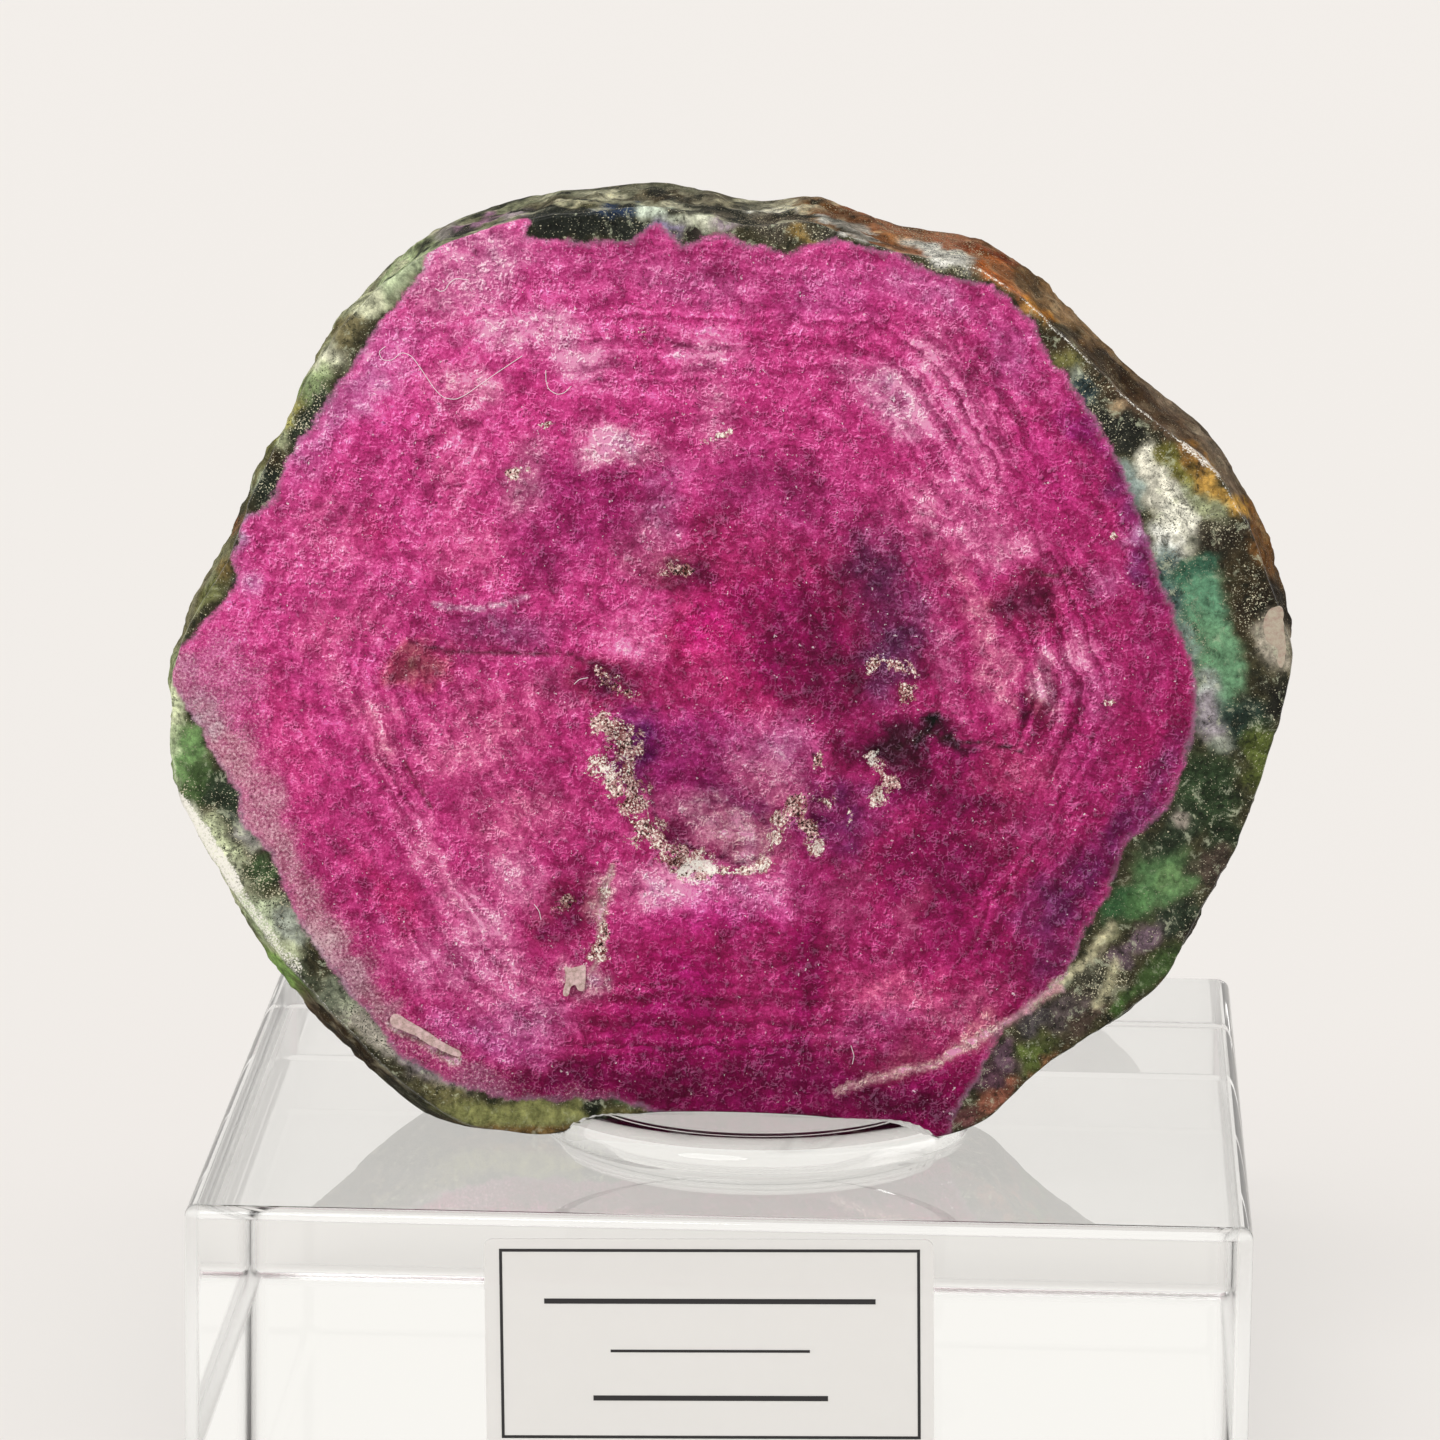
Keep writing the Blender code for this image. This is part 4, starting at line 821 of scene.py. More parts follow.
def mottled(tree, colour, field, low, high, darkest, palest):
    # ruby gets darker and purer where the field is low, brighter and pinker where it is high
    middle = (low + high) / 2
    deep = addNode(tree, "ShaderNodeVectorMath", {0: colour, 1: (0.42, 0.25, 0.36)}, operation="MULTIPLY")
    colour = stained(tree, colour, deep.outputs[0], field, middle, low, darkest)
    bright = addNode(tree, "ShaderNodeVectorMath", {0: colour, 1: (1.45, 2.4, 1.7)}, operation="MULTIPLY")
    return stained(tree, colour, bright.outputs[0], field, middle, high, palest)


def dappled(tree, colour, field, low, high, darkest, lightest):
    # the same colour, darker where the field is low and lighter where it is high
    light = addNode(tree, "ShaderNodeMapRange", {
        "Value": field, "From Min": low, "From Max": high, "To Min": darkest, "To Max": lightest})
    return addNode(tree, "ShaderNodeVectorMath", {0: colour, 3: light.outputs[0]},
                   operation="SCALE").outputs[0]


def peppered(tree, colour, share, onDark, onPale, dark, pale):
    # grains in one tone where the rock is dark and in another where it is pale
    brightness = addNode(tree, "ShaderNodeRGBToBW", {"Color": colour}).outputs[0]
    grain = stained(tree, (*linear(onDark), 1), onPale, brightness, dark, pale)
    return addNode(tree, "ShaderNodeMix", {0: share, 6: colour, 7: grain}, data_type="RGBA").outputs[2]


def stroked(tree, colour, stroke, place, thick, most):
    # short curved strokes 0.06 mm wide: level lines of a noise, broken up by another
    share = 0.0
    for scale, away in ((2.4, 0.0), (3.4, 17.0)):
        moved = addNode(tree, "ShaderNodeVectorMath", {0: place, 1: (away, 0.0, away)},
                        operation="ADD").outputs[0]
        waves = addNode(tree, "ShaderNodeTexNoise", {
            "Vector": moved, "Scale": scale, "Detail": 1.5, "Roughness": 0.5, "Distortion": 0.5})
        level = addNode(tree, "ShaderNodeMath", {0: waves.outputs["Fac"], 1: 0.5}, operation="SUBTRACT")
        level = addNode(tree, "ShaderNodeMath", {0: level.outputs[0]}, operation="ABSOLUTE")
        line = addNode(tree, "ShaderNodeMapRange", {
            "Value": level.outputs[0], "From Min": 0.055, "From Max": 0.018})
        breaks = addNode(tree, "ShaderNodeTexNoise", {
            "Vector": moved, "Scale": 2.2, "Detail": 1.0, "Roughness": 0.6})
        kept = addNode(tree, "ShaderNodeMapRange", {
            "Value": breaks.outputs["Fac"], "From Min": 0.50, "From Max": 0.57})
        line = addNode(tree, "ShaderNodeMath", {0: line.outputs[0], 1: kept.outputs[0]}, operation="MULTIPLY")
        share = addNode(tree, "ShaderNodeMath", {0: line.outputs[0], 1: share},
                        operation="MAXIMUM").outputs[0]
    thick = addNode(tree, "ShaderNodeMath", {0: thick, 1: most}, operation="MULTIPLY").outputs[0]
    share = addNode(tree, "ShaderNodeMath", {0: share, 1: thick}, operation="MULTIPLY").outputs[0]
    return addNode(tree, "ShaderNodeMix", {0: share, 6: colour, 7: stroke}, data_type="RGBA").outputs[2]


def makeStone():
    # ruby crystal in zoisite rock, sawn and wax-polished: close to glassy on the face, dull on the skin
    material, tree, surface = newMaterial("polished ruby in zoisite", {
        "Metallic": 0.0, "IOR": 1.55, "Specular IOR Level": 0.08,
    })
    place = addNode(tree, "ShaderNodeTexCoord").outputs["Object"]
    inMm = addNode(tree, "ShaderNodeVectorMath", {0: place, 3: 1000.0}, operation="SCALE").outputs[0]
    painted = {
        name: addNode(tree, "ShaderNodeAttribute", attribute_name=name).outputs
        for name in ("rubyTone", "haloTone", "haloShare", "rimTone", "skinTone", "shares", "marks",
                     "crumbDark", "rubyDistance", "growth", "bandShare")
    }
    onSkin, flecks, rough = addNode(tree, "ShaderNodeSeparateXYZ", {0: painted["shares"]["Vector"]}).outputs
    crumb, highlightAndLumps, calm = addNode(tree, "ShaderNodeSeparateXYZ", {0: painted["marks"]["Vector"]}).outputs

    # places shifted by a soft noise, so that clouds curl a little, and places drawn out level
    shift = addNode(tree, "ShaderNodeTexNoise", {"Vector": inMm, "Scale": 0.55, "Detail": 3.0})
    centred = addNode(tree, "ShaderNodeVectorMath", {0: shift.outputs["Color"], 1: (0.5, 0.5, 0.5)},
                      operation="SUBTRACT").outputs[0]
    curled = addNode(tree, "ShaderNodeVectorMath", {0: centred, 1: (1.7, 1.7, 1.7), 2: inMm},
                     operation="MULTIPLY_ADD").outputs[0]
    level = addNode(tree, "ShaderNodeMapping", {"Vector": curled, "Scale": (0.35, 1.0, 4.6)}).outputs[0]
    grounds = {"plain": inMm, "curled": curled, "level": level}
    grain = {}
    for name, (ground, scale, detail, roughness, distortion) in stoneGrain.items():
        grain[name] = addNode(tree, "ShaderNodeTexNoise", {
            "Vector": grounds[ground], "Scale": scale, "Detail": detail, "Roughness": roughness,
            "Distortion": distortion}).outputs["Fac"]

    # ruby: clouds of 2.5 mm, then tufts of 0.8 mm
    ruby = mottled(tree, painted["rubyTone"]["Color"], grain["clouds"], 0.36, 0.64, 0.50, 0.45)
    ruby = mottled(tree, ruby, grain["tufts"], 0.35, 0.65, 0.62, 0.70)

    # growth bands parallel to the crystal's six sides
    bandPlace = addNode(tree, "ShaderNodeMath", {0: grain["clouds"], 1: 2.2, 2: painted["growth"]["Fac"]},
                        operation="MULTIPLY_ADD").outputs[0]
    bands = addNode(tree, "ShaderNodeTexNoise",
                    {"W": bandPlace, "Scale": 1.35, "Detail": 2.0, "Roughness": 0.6},
                    noise_dimensions="1D").outputs["Fac"]
    banded = mottled(tree, ruby, bands, 0.41, 0.59, 0.75, 0.95)
    ruby = addNode(tree, "ShaderNodeMix", {0: painted["bandShare"]["Fac"], 6: ruby, 7: banded},
                   data_type="RGBA").outputs[2]

    # marks of the saw and the lap, level lines 0.15 mm apart, then grains of 0.15 mm
    ruby = mottled(tree, ruby, grain["sawn"], 0.36, 0.64, 0.20, 0.25)
    ruby = mottled(tree, ruby, grain["grains"], 0.37, 0.63, 0.52, 0.50)
    ruby = addNode(tree, "ShaderNodeVectorMath", {0: ruby, 1: (0.76, 0.30, 0.50)},
                   operation="MINIMUM").outputs[0]

    # pale strokes painted lit, each with a painted shade edge below it, as on fine relief
    patchy = addNode(tree, "ShaderNodeMapRange", {
        "Value": grain["patches"], "From Min": 0.40, "From Max": 0.62, "To Min": 0.30, "To Max": 0.85})
    thick = addNode(tree, "ShaderNodeMath", {0: patchy.outputs[0], 1: flecks}, operation="MAXIMUM").outputs[0]
    below = addNode(tree, "ShaderNodeVectorMath", {0: inMm, 1: (-0.06, 0.0, 0.08)},
                    operation="ADD").outputs[0]
    shaded = addNode(tree, "ShaderNodeVectorMath", {0: ruby, 1: (0.30, 0.18, 0.26)}, operation="MULTIPLY")
    ruby = stroked(tree, ruby, shaded.outputs[0], below, thick, 0.75)
    lit = addNode(tree, "ShaderNodeVectorMath", {0: ruby, 1: (1.9, 4.0, 2.4), 2: (0.12, 0.07, 0.11)},
                  operation="MULTIPLY_ADD")
    ruby = stroked(tree, ruby, lit.outputs[0], inMm, thick, 0.9)
    ruby = addNode(tree, "ShaderNodeVectorMath", {0: ruby, 1: (0.95, 0.72, 0.84)},
                   operation="MINIMUM").outputs[0]
    ruby = stained(tree, ruby, "3c0a1e", grain["dust"], 0.66, 0.71, 0.6)
    ruby = stained(tree, ruby, "fff0f6", grain["dust"], 0.295, 0.265, 0.8, thick)

    # halo of the crystal's left side: grey pink, speckled with fine dark and pale grains
    halo = dappled(tree, painted["haloTone"]["Color"], grain["tufts"], 0.33, 0.67, 0.70, 1.26)
    halo = stained(tree, halo, "54283c", grain["grains"], 0.47, 0.40, 0.8)
    halo = stained(tree, halo, "f0dce0", grain["grains"], 0.54, 0.61, 0.7)
    haloShown = addNode(tree, "ShaderNodeMapRange", {
        "Value": grain["tufts"], "From Min": 0.35, "From Max": 0.60, "To Min": 0.55, "To Max": 1.0})
    haloShown = addNode(tree, "ShaderNodeMath", {0: painted["haloShare"]["Fac"], 1: haloShown.outputs[0]},
                        operation="MULTIPLY")
    ruby = addNode(tree, "ShaderNodeMix", {0: haloShown.outputs[0], 6: ruby, 7: halo},
                   data_type="RGBA").outputs[2]

    # rim rock: crystals of about 0.4 mm, darker and lighter than their zone, with hornblende between
    rim = painted["rimTone"]["Color"]
    rimLit = dappled(tree, rim, grain["crystals"], 0.32, 0.68, 0.26, 1.55)
    lively = addNode(tree, "ShaderNodeMapRange", {"Value": calm, "To Min": 1.0, "To Max": 0.75}).outputs[0]
    rim = addNode(tree, "ShaderNodeMix", {0: lively, 6: rim, 7: rimLit}, data_type="RGBA").outputs[2]
    rim = dappled(tree, rim, grain["tufts"], 0.35, 0.65, 0.60, 1.45)
    busy = addNode(tree, "ShaderNodeMapRange", {"Value": calm, "To Min": 1.0, "To Max": 0.45}).outputs[0]
    rim = stained(tree, rim, "1c2018", grain["hornblende"], 0.55, 0.60, 0.75, busy)
    rim = stained(tree, rim, "ccd2b4", grain["hornblende"], 0.44, 0.37, 0.5, busy)

    # salt and pepper of 0.08 mm grains in clusters: dark ones in pale rock, pale ones in dark rock
    pepperAt = addNode(tree, "ShaderNodeMath", {0: grain["tufts"], 1: 0.24, 2: grain["pepper"]},
                       operation="MULTIPLY_ADD")
    pepperAt = addNode(tree, "ShaderNodeMath", {0: flecks, 1: 0.13, 2: pepperAt.outputs[0]},
                       operation="MULTIPLY_ADD")
    pepper = addNode(tree, "ShaderNodeMapRange", {
        "Value": pepperAt.outputs[0], "From Min": 0.812, "From Max": 0.862, "To Max": 0.92})
    pepper = addNode(tree, "ShaderNodeMath", {0: pepper.outputs[0], 1: busy}, operation="MULTIPLY").outputs[0]
    rim = peppered(tree, rim, pepper, "d8d2b4", "20221a", 0.12, 0.26)

    # ragged border of the crystal, with a grey lilac film 0.3 mm wide
    ragged = addNode(tree, "ShaderNodeMath",
                     {0: grain["crystals"], 1: 0.9, 2: painted["rubyDistance"]["Fac"]},
                     operation="MULTIPLY_ADD").outputs[0]
    inside = addNode(tree, "ShaderNodeMapRange", {"Value": ragged, "From Min": 0.30, "From Max": 0.60},
                     interpolation_type="SMOOTHSTEP")
    film = addNode(tree, "ShaderNodeMapRange", {
        "Value": ragged, "From Min": 0.9, "From Max": 0.40, "To Max": 0.6}, interpolation_type="SMOOTHSTEP")
    filmBroken = addNode(tree, "ShaderNodeMapRange", {
        "Value": grain["clouds"], "From Min": 0.35, "From Max": 0.60, "To Min": 1.0, "To Max": 0.35})
    film = addNode(tree, "ShaderNodeMath", {0: film.outputs[0], 1: filmBroken.outputs[0]},
                   operation="MULTIPLY")
    ruby = addNode(tree, "ShaderNodeMix", {0: film.outputs[0], 6: ruby, 7: (*linear("9c8298"), 1)},
                   data_type="RGBA").outputs[2]
    face = addNode(tree, "ShaderNodeMix", {0: inside.outputs[0], 6: rim, 7: ruby},
                   data_type="RGBA").outputs[2]

    # crumbled grains in the hollows: white, beige and dark, in patches
    crumbAt = addNode(tree, "ShaderNodeMath", {0: grain["clumps"], 1: 3.6, 2: crumb},
                      operation="MULTIPLY_ADD").outputs[0]
    lightness = addNode(tree, "ShaderNodeMapRange", {
        "Value": painted["crumbDark"]["Fac"], "To Min": 0.07, "To Max": -0.08})
    sugar = addNode(tree, "ShaderNodeMath", {0: grain["sugar"], 1: lightness.outputs[0]}).outputs[0]
    crumbTone = stained(tree, (*linear("8c4c50"), 1), "cda2a0", grain["tufts"], 0.40, 0.60)
    crumbTone = stained(tree, crumbTone, "24120e", sugar, 0.45, 0.39)
    crumbTone = stained(tree, crumbTone, "fbf4e8", sugar, 0.545, 0.60)
    inBed = addNode(tree, "ShaderNodeMapRange",
                    {"Value": crumb, "From Min": 0.02, "From Max": 0.12}).outputs[0]
    face = stained(tree, face, crumbTone, crumbAt, 2.40, 2.54, 1.0, inBed)

    # painted highlight on the polished edge and painted glare, with the real white lumps beside the hollow,
    # broken up by the grain where it is slight
    highlightAndLumpsAt = addNode(tree, "ShaderNodeMath", {0: grain["pepper"], 1: 1.6, 2: highlightAndLumps},
                      operation="MULTIPLY_ADD")
    highlightAndLumpsShown = addNode(tree, "ShaderNodeMapRange",
                     {"Value": highlightAndLumpsAt.outputs[0], "From Min": 1.30, "From Max": 1.55})
    highlightAndLumpsOn = addNode(tree, "ShaderNodeMapRange", {"Value": highlightAndLumps, "From Min": 0.05, "From Max": 0.35})
    highlightAndLumpsShown = addNode(tree, "ShaderNodeMath", {0: highlightAndLumpsShown.outputs[0], 1: highlightAndLumpsOn.outputs[0]},
                     operation="MULTIPLY").outputs[0]
    grainy = addNode(tree, "ShaderNodeMapRange", {
        "Value": grain["grains"], "From Min": 0.38, "From Max": 0.50, "To Min": 0.45, "To Max": 0.95})
    faceHighlightAndLumps = addNode(tree, "ShaderNodeMath", {0: highlightAndLumpsShown, 1: grainy.outputs[0]}, operation="MULTIPLY")
    face = addNode(tree, "ShaderNodeMix", {0: faceHighlightAndLumps.outputs[0], 6: face, 7: (*linear("f8f5ec"), 1)},
                   data_type="RGBA").outputs[2]

    # skin: lit and stained by its own grain
    skin = dappled(tree, painted["skinTone"]["Color"], grain["skin"], 0.33, 0.67, 0.22, 1.9)
    skin = peppered(tree, skin, pepper, "e0d2ac", "2c2618", 0.15, 0.30)
    # the painted edge highlight and glare reach onto the skin as well
    skinHighlightAndLumps = addNode(tree, "ShaderNodeMath", {0: highlightAndLumpsShown, 1: 0.9}, operation="MULTIPLY").outputs[0]
    skin = addNode(tree, "ShaderNodeMix", {0: skinHighlightAndLumps, 6: skin, 7: (*linear("f2f0e6"), 1)},
                   data_type="RGBA").outputs[2]
    colour = addNode(tree, "ShaderNodeMix", {0: onSkin, 6: face, 7: skin}, data_type="RGBA").outputs[2]
    tree.links.new(colour, surface.inputs["Base Color"])

    # polish 0.12 to 0.30 with fine scuffs, raw stone 0.75
    polish = addNode(tree, "ShaderNodeMapRange", {
        "Value": grain["crystals"], "From Min": 0.3, "From Max": 0.7, "To Min": 0.12, "To Max": 0.30})
    dull = addNode(tree, "ShaderNodeMix", {0: rough, 2: polish.outputs[0], 3: 0.75})
    tree.links.new(dull.outputs[0], surface.inputs["Roughness"])
    relief = addNode(tree, "ShaderNodeMapRange", {"Value": rough, "To Min": 0.04, "To Max": 1.0})
    bump = addNode(tree, "ShaderNodeBump", {
        "Height": grain["skin"], "Distance": 0.0004, "Strength": relief.outputs[0]})
    tree.links.new(bump.outputs[0], surface.inputs["Normal"])
    return material


stone = makeStone()
places, faces, onSkin, edgeHighlightSteps = slabGeometry()
slabMesh = bpy.data.meshes.new("ruby_zoisite")
slabMesh.from_pydata((places * mm).tolist(), [], faces)
for name, values in slabColours(places, onSkin, edgeHighlightSteps).items():
    if name.endswith("Tone"):
        layer = slabMesh.attributes.new(name, "FLOAT_COLOR", "POINT")
        layer.data.foreach_set("color", np.hstack([values, np.ones((len(values), 1))]).ravel())
    elif values.ndim == 2:
        layer = slabMesh.attributes.new(name, "FLOAT_VECTOR", "POINT")
        layer.data.foreach_set("vector", values.ravel())
    else:
        layer = slabMesh.attributes.new(name, "FLOAT", "POINT")
        layer.data.foreach_set("value", values)
shape = bmesh.new()
shape.from_mesh(slabMesh)
bmesh.ops.recalc_face_normals(shape, faces=shape.faces)
shape.to_mesh(slabMesh)
shape.free()
slabMesh.shade_smooth()
newPiece("ruby_zoisite", slabMesh, stone, "ruby_zoisite", "ruby_zoisite_slab")

# loose mineral grains in the hollows and round the chip

crumbs = {
    "perSquareMm": 13.0,
    "smallest": 0.02,
    "largest": 0.085,
    "seed": 7,
    "bedSides": 14,
}


def crumbTree():  # grains of random size and turn over a bed, with a random number kept on each
    tree = bpy.data.node_groups.new("scattered grains", "GeometryNodeTree")
    for name, kind in (("Bed", "Geometry"), ("Density", "Float"), ("Smallest", "Float"), ("Largest", "Float"),
                       ("Seed", "Int"), ("Material", "Material")):
        tree.interface.new_socket(name, in_out="INPUT", socket_type="NodeSocket" + kind)
    tree.interface.new_socket("Grains", in_out="OUTPUT", socket_type="NodeSocketGeometry")
    start = tree.nodes.new("NodeGroupInput").outputs
    spread = addNode(tree, "GeometryNodeDistributePointsOnFaces", {
        "Mesh": start["Bed"], "Density": start["Density"], "Seed": start["Seed"]})
    grain = addNode(tree, "GeometryNodeMeshIcoSphere", {"Radius": 1.0, "Subdivisions": 1})
    size = addNode(tree, "FunctionNodeRandomValue", {2: start["Smallest"], 3: start["Largest"],
                                                     8: start["Seed"]}, data_type="FLOAT")
    stretch = addNode(tree, "FunctionNodeRandomValue", {0: (0.6, 0.6, 0.6), 1: (1.5, 1.2, 1.1), 8: 3},
                      data_type="FLOAT_VECTOR")
    scale = addNode(tree, "ShaderNodeVectorMath", {0: stretch.outputs[0], 3: size.outputs[1]},
                    operation="SCALE")
    turn = addNode(tree, "FunctionNodeRandomValue", {0: (0, 0, 0), 1: (6.28, 6.28, 6.28), 8: 5},
                   data_type="FLOAT_VECTOR")
    placed = addNode(tree, "GeometryNodeInstanceOnPoints", {
        "Points": spread.outputs["Points"], "Instance": grain.outputs[0], "Rotation": turn.outputs[0],
        "Scale": scale.outputs[0]})
    number = addNode(tree, "FunctionNodeRandomValue", {2: 0.0, 3: 1.0, 8: 9}, data_type="FLOAT")
    marked = addNode(tree, "GeometryNodeStoreNamedAttribute", {
        "Geometry": placed.outputs[0], "Name": "number", "Value": number.outputs[1]},
        data_type="FLOAT", domain="INSTANCE")
    real = addNode(tree, "GeometryNodeRealizeInstances", {0: marked.outputs[0]})
    done = addNode(tree, "GeometryNodeSetMaterial", {
        "Geometry": real.outputs[0], "Material": start["Material"]})
    addNode(tree, "NodeGroupOutput", {0: done.outputs[0]})
    return tree


def bedMesh(dark):  # small discs lying in the relief of the front face
    sides = crumbs["bedSides"]
    points, faces = [], []
    for x, z, long, short, turn, darkShare in crumbBeds:
        amount = math.sqrt(darkShare if dark else 1 - darkShare)
        angle = math.radians(turn)
        start = len(points)
        for ring in (1.0, 0.66, 0.33):
            for step in range(sides):
                a = step * 2 * math.pi / sides
                reach = ring * amount * (1 + 0.30 * math.sin(2 * a + 3 * x) + 0.22 * math.sin(5 * a + 7 * z))
                u, v = long * reach * math.cos(a), short * reach * math.sin(a)
                points.append((x + u * math.cos(angle) - v * math.sin(angle),
                               z + u * math.sin(angle) + v * math.cos(angle)))
        points.append((x, z))
        for step in range(sides):
            after = (step + 1) % sides
            faces += [(k + step, k + after, k + sides + after, k + sides + step)
                      for k in (start, start + sides)]
            inner = start + 2 * sides
            faces.append((inner + step, inner + after, inner + sides))
    points = np.array(points)
    deep = slab["front"] + frontRelief(points) - 0.01
    mesh = bpy.data.meshes.new("grain_bed")
    mesh.from_pydata((np.stack([points[:, 0], deep, points[:, 1]], axis=1) * mm).tolist(), [], faces)
    return mesh


def scatter(name, mesh, material, values, seed):  # runs the tree on a bed and returns a plain mesh
    bed = bpy.data.objects.new(name + "_bed", mesh)
    bpy.context.scene.collection.objects.link(bed)
    modifier = bed.modifiers.new("grains", "NODES")
    modifier.node_group = crumbTree()
    given = {"Density": values["perSquareMm"] * 1e6, "Smallest": values["smallest"] * mm,
             "Largest": values["largest"] * mm, "Seed": seed, "Material": material}
    for item in modifier.node_group.interface.items_tree:
        if item.in_out == "INPUT" and item.name in given:
            modifier[item.identifier] = given[item.name]
    bpy.context.view_layer.update()
    result = bpy.data.meshes.new_from_object(bed.evaluated_get(bpy.context.evaluated_depsgraph_get()))
    bpy.data.objects.remove(bed)
    return result


def grainMaterial(name, first, second, roughness):  # every grain takes its own tone between two
    material, tree, surface = newMaterial(name, {"Metallic": 0.0, "Roughness": roughness, "IOR": 1.55})
    number = addNode(tree, "ShaderNodeAttribute", attribute_name="number")
    mixed = addNode(tree, "ShaderNodeMix", {0: number.outputs["Fac"], 6: (*linear(first), 1),
                                            7: (*linear(second), 1)}, data_type="RGBA")
    tree.links.new(mixed.outputs[2], surface.inputs["Base Color"])
    return material


# calcite and feldspar grains, white to beige; amphibole grains, brown to black
paleGrains = grainMaterial("pale feldspar grains", "fbf6ee", "cfa49a", 0.5)
darkGrains = grainMaterial("dark hornblende grains", "1c120c", "6a3a24", 0.35)
newPiece("pale_grains", scatter("pale_grains", bedMesh(False), paleGrains, crumbs, crumbs["seed"]),
         paleGrains, "ruby_zoisite")
newPiece("dark_grains", scatter("dark_grains", bedMesh(True), darkGrains, crumbs, crumbs["seed"] + 1),
         darkGrains, "ruby_zoisite")

# lint on the face: fine textile hairs

hairs = [
    [(-20.1, 61.4), (-20.5, 61.1), (-20.3, 60.6), (-19.7, 60.6), (-19.2, 61.1), (-18.6, 60.9), (-17.9, 59.9),
     (-17.3, 59.0), (-16.8, 58.5), (-16.1, 58.4), (-15.5, 58.7), (-14.7, 59.3), (-13.6, 60.1), (-12.3, 61.0)],
    [(-10.96, 60.2), (-10.95, 59.6), (-10.8, 59.1), (-10.3, 58.8), (-9.9, 58.9), (-9.5, 59.3)],
    [(-17.3, 64.8), (-17.0, 64.6), (-16.7, 64.7), (-16.5, 65.1), (-16.1, 65.4), (-15.4, 65.3)],
    [(-11.4, 29.0), (-11.1, 28.6), (-11.0, 28.1)], [(7.0, 21.0), (7.2, 20.4), (7.1, 19.9)],
    [(-9.2, 42.0), (-8.9, 42.3), (-8.4, 42.4)],
]
hairLook = {"radius": 0.020, "sides": 5, "lift": 0.03, "finer": 5}


def hairMesh():
    points, faces = [], []
    sides = hairLook["sides"]
    for line in hairs:
        line = np.array(line)
        at = np.linspace(0, len(line) - 1, len(line) * hairLook["finer"])
        fine = np.stack([np.interp(at, np.arange(len(line)), line[:, k]) for k in (0, 1)], axis=1)
        for _ in range(3):
            fine[1:-1] = (fine[:-2] + 2 * fine[1:-1] + fine[2:]) / 4
        along = np.gradient(fine, axis=0)
        across = np.stack([-along[:, 1], along[:, 0]], axis=1) / np.hypot(*along.T)[:, None]
        start = len(points)
        for k, (x, z) in enumerate(fine):
            for side in range(sides):
                a = side * 2 * math.pi / sides
                out = hairLook["radius"] * math.cos(a)
                points.append((x + across[k, 0] * out,
                               slab["front"] - hairLook["lift"] + hairLook["radius"] * math.sin(a),
                               z + across[k, 1] * out))
        for k in range(len(fine) - 1):
            for side in range(sides):
                a, b = start + k * sides + side, start + k * sides + (side + 1) % sides
                faces.append((a, a + sides, b + sides, b))
        last = start + (len(fine) - 1) * sides
        faces.append(tuple(range(start, start + sides)))
        faces.append(tuple(range(last, last + sides))[::-1])
    mesh = bpy.data.meshes.new("lint")
    mesh.from_pydata([tuple(c * mm for c in p) for p in points], [], faces)
    return mesh


# textile lint, matt: it shows as fine pale curves
lint, *_ = newMaterial("white textile fibre", {
    "Base Color": (*linear("f2e4ea"), 1), "Metallic": 0.0, "Roughness": 0.6, "IOR": 1.5,
})
newPiece("lint", hairMesh(), lint, "ruby_zoisite")

# three pale flakes of mica set in the face
flakeLook = {"points": 70, "out": 0.02, "in": 0.3, "ragged": 0.05, "grain": 0.3}
flakes = [
    [(-9.60, 25.35), (-9.25, 25.22), (-8.90, 25.32), (-8.42, 25.45), (-8.40, 24.75), (-8.46, 23.98),
     (-8.80, 23.95), (-8.98, 24.28), (-9.24, 24.12), (-9.40, 23.60), (-9.70, 23.72), (-9.55, 24.60)],
    [(-19.70, 22.10), (-19.40, 22.30), (-18.70, 21.95), (-17.60, 21.30), (-16.40, 20.55), (-15.60, 20.10),
     (-15.80, 19.85), (-17.00, 20.30), (-18.10, 20.95), (-18.90, 21.30), (-19.60, 21.60)],
    [(30.35, 47.00), (30.90, 47.35), (31.25, 47.15), (31.30, 46.20), (31.45, 45.20), (31.45, 44.30),
     (31.25, 43.75), (31.02, 44.10), (31.00, 44.90), (30.45, 45.25), (30.15, 46.10)],
]
shape = bmesh.new()
for outline in flakes:
    count = flakeLook["points"]
    ring = closedCurve(outline, count)
    spot = np.stack([ring[:, 0], np.zeros(count), ring[:, 1]], axis=1)
    ring = ring + flakeLook["ragged"] * np.stack(
        [softNoise(spot, flakeLook["grain"], seed) for seed in (40, 41)], axis=1)
    sheets = [[shape.verts.new(Vector((x, slab["front"] + y, z)) * mm) for x, z in ring]
              for y in (-flakeLook["out"], flakeLook["in"])]
    shape.faces.new(sheets[0])
    shape.faces.new(sheets[1][::-1])
    for i in range(count):
        j = (i + 1) % count
        shape.faces.new([sheets[0][i], sheets[1][i], sheets[1][j], sheets[0][j]])
bmesh.ops.recalc_face_normals(shape, faces=shape.faces)
flakeMesh = bpy.data.meshes.new("pale_flakes")
shape.to_mesh(flakeMesh)
shape.free()
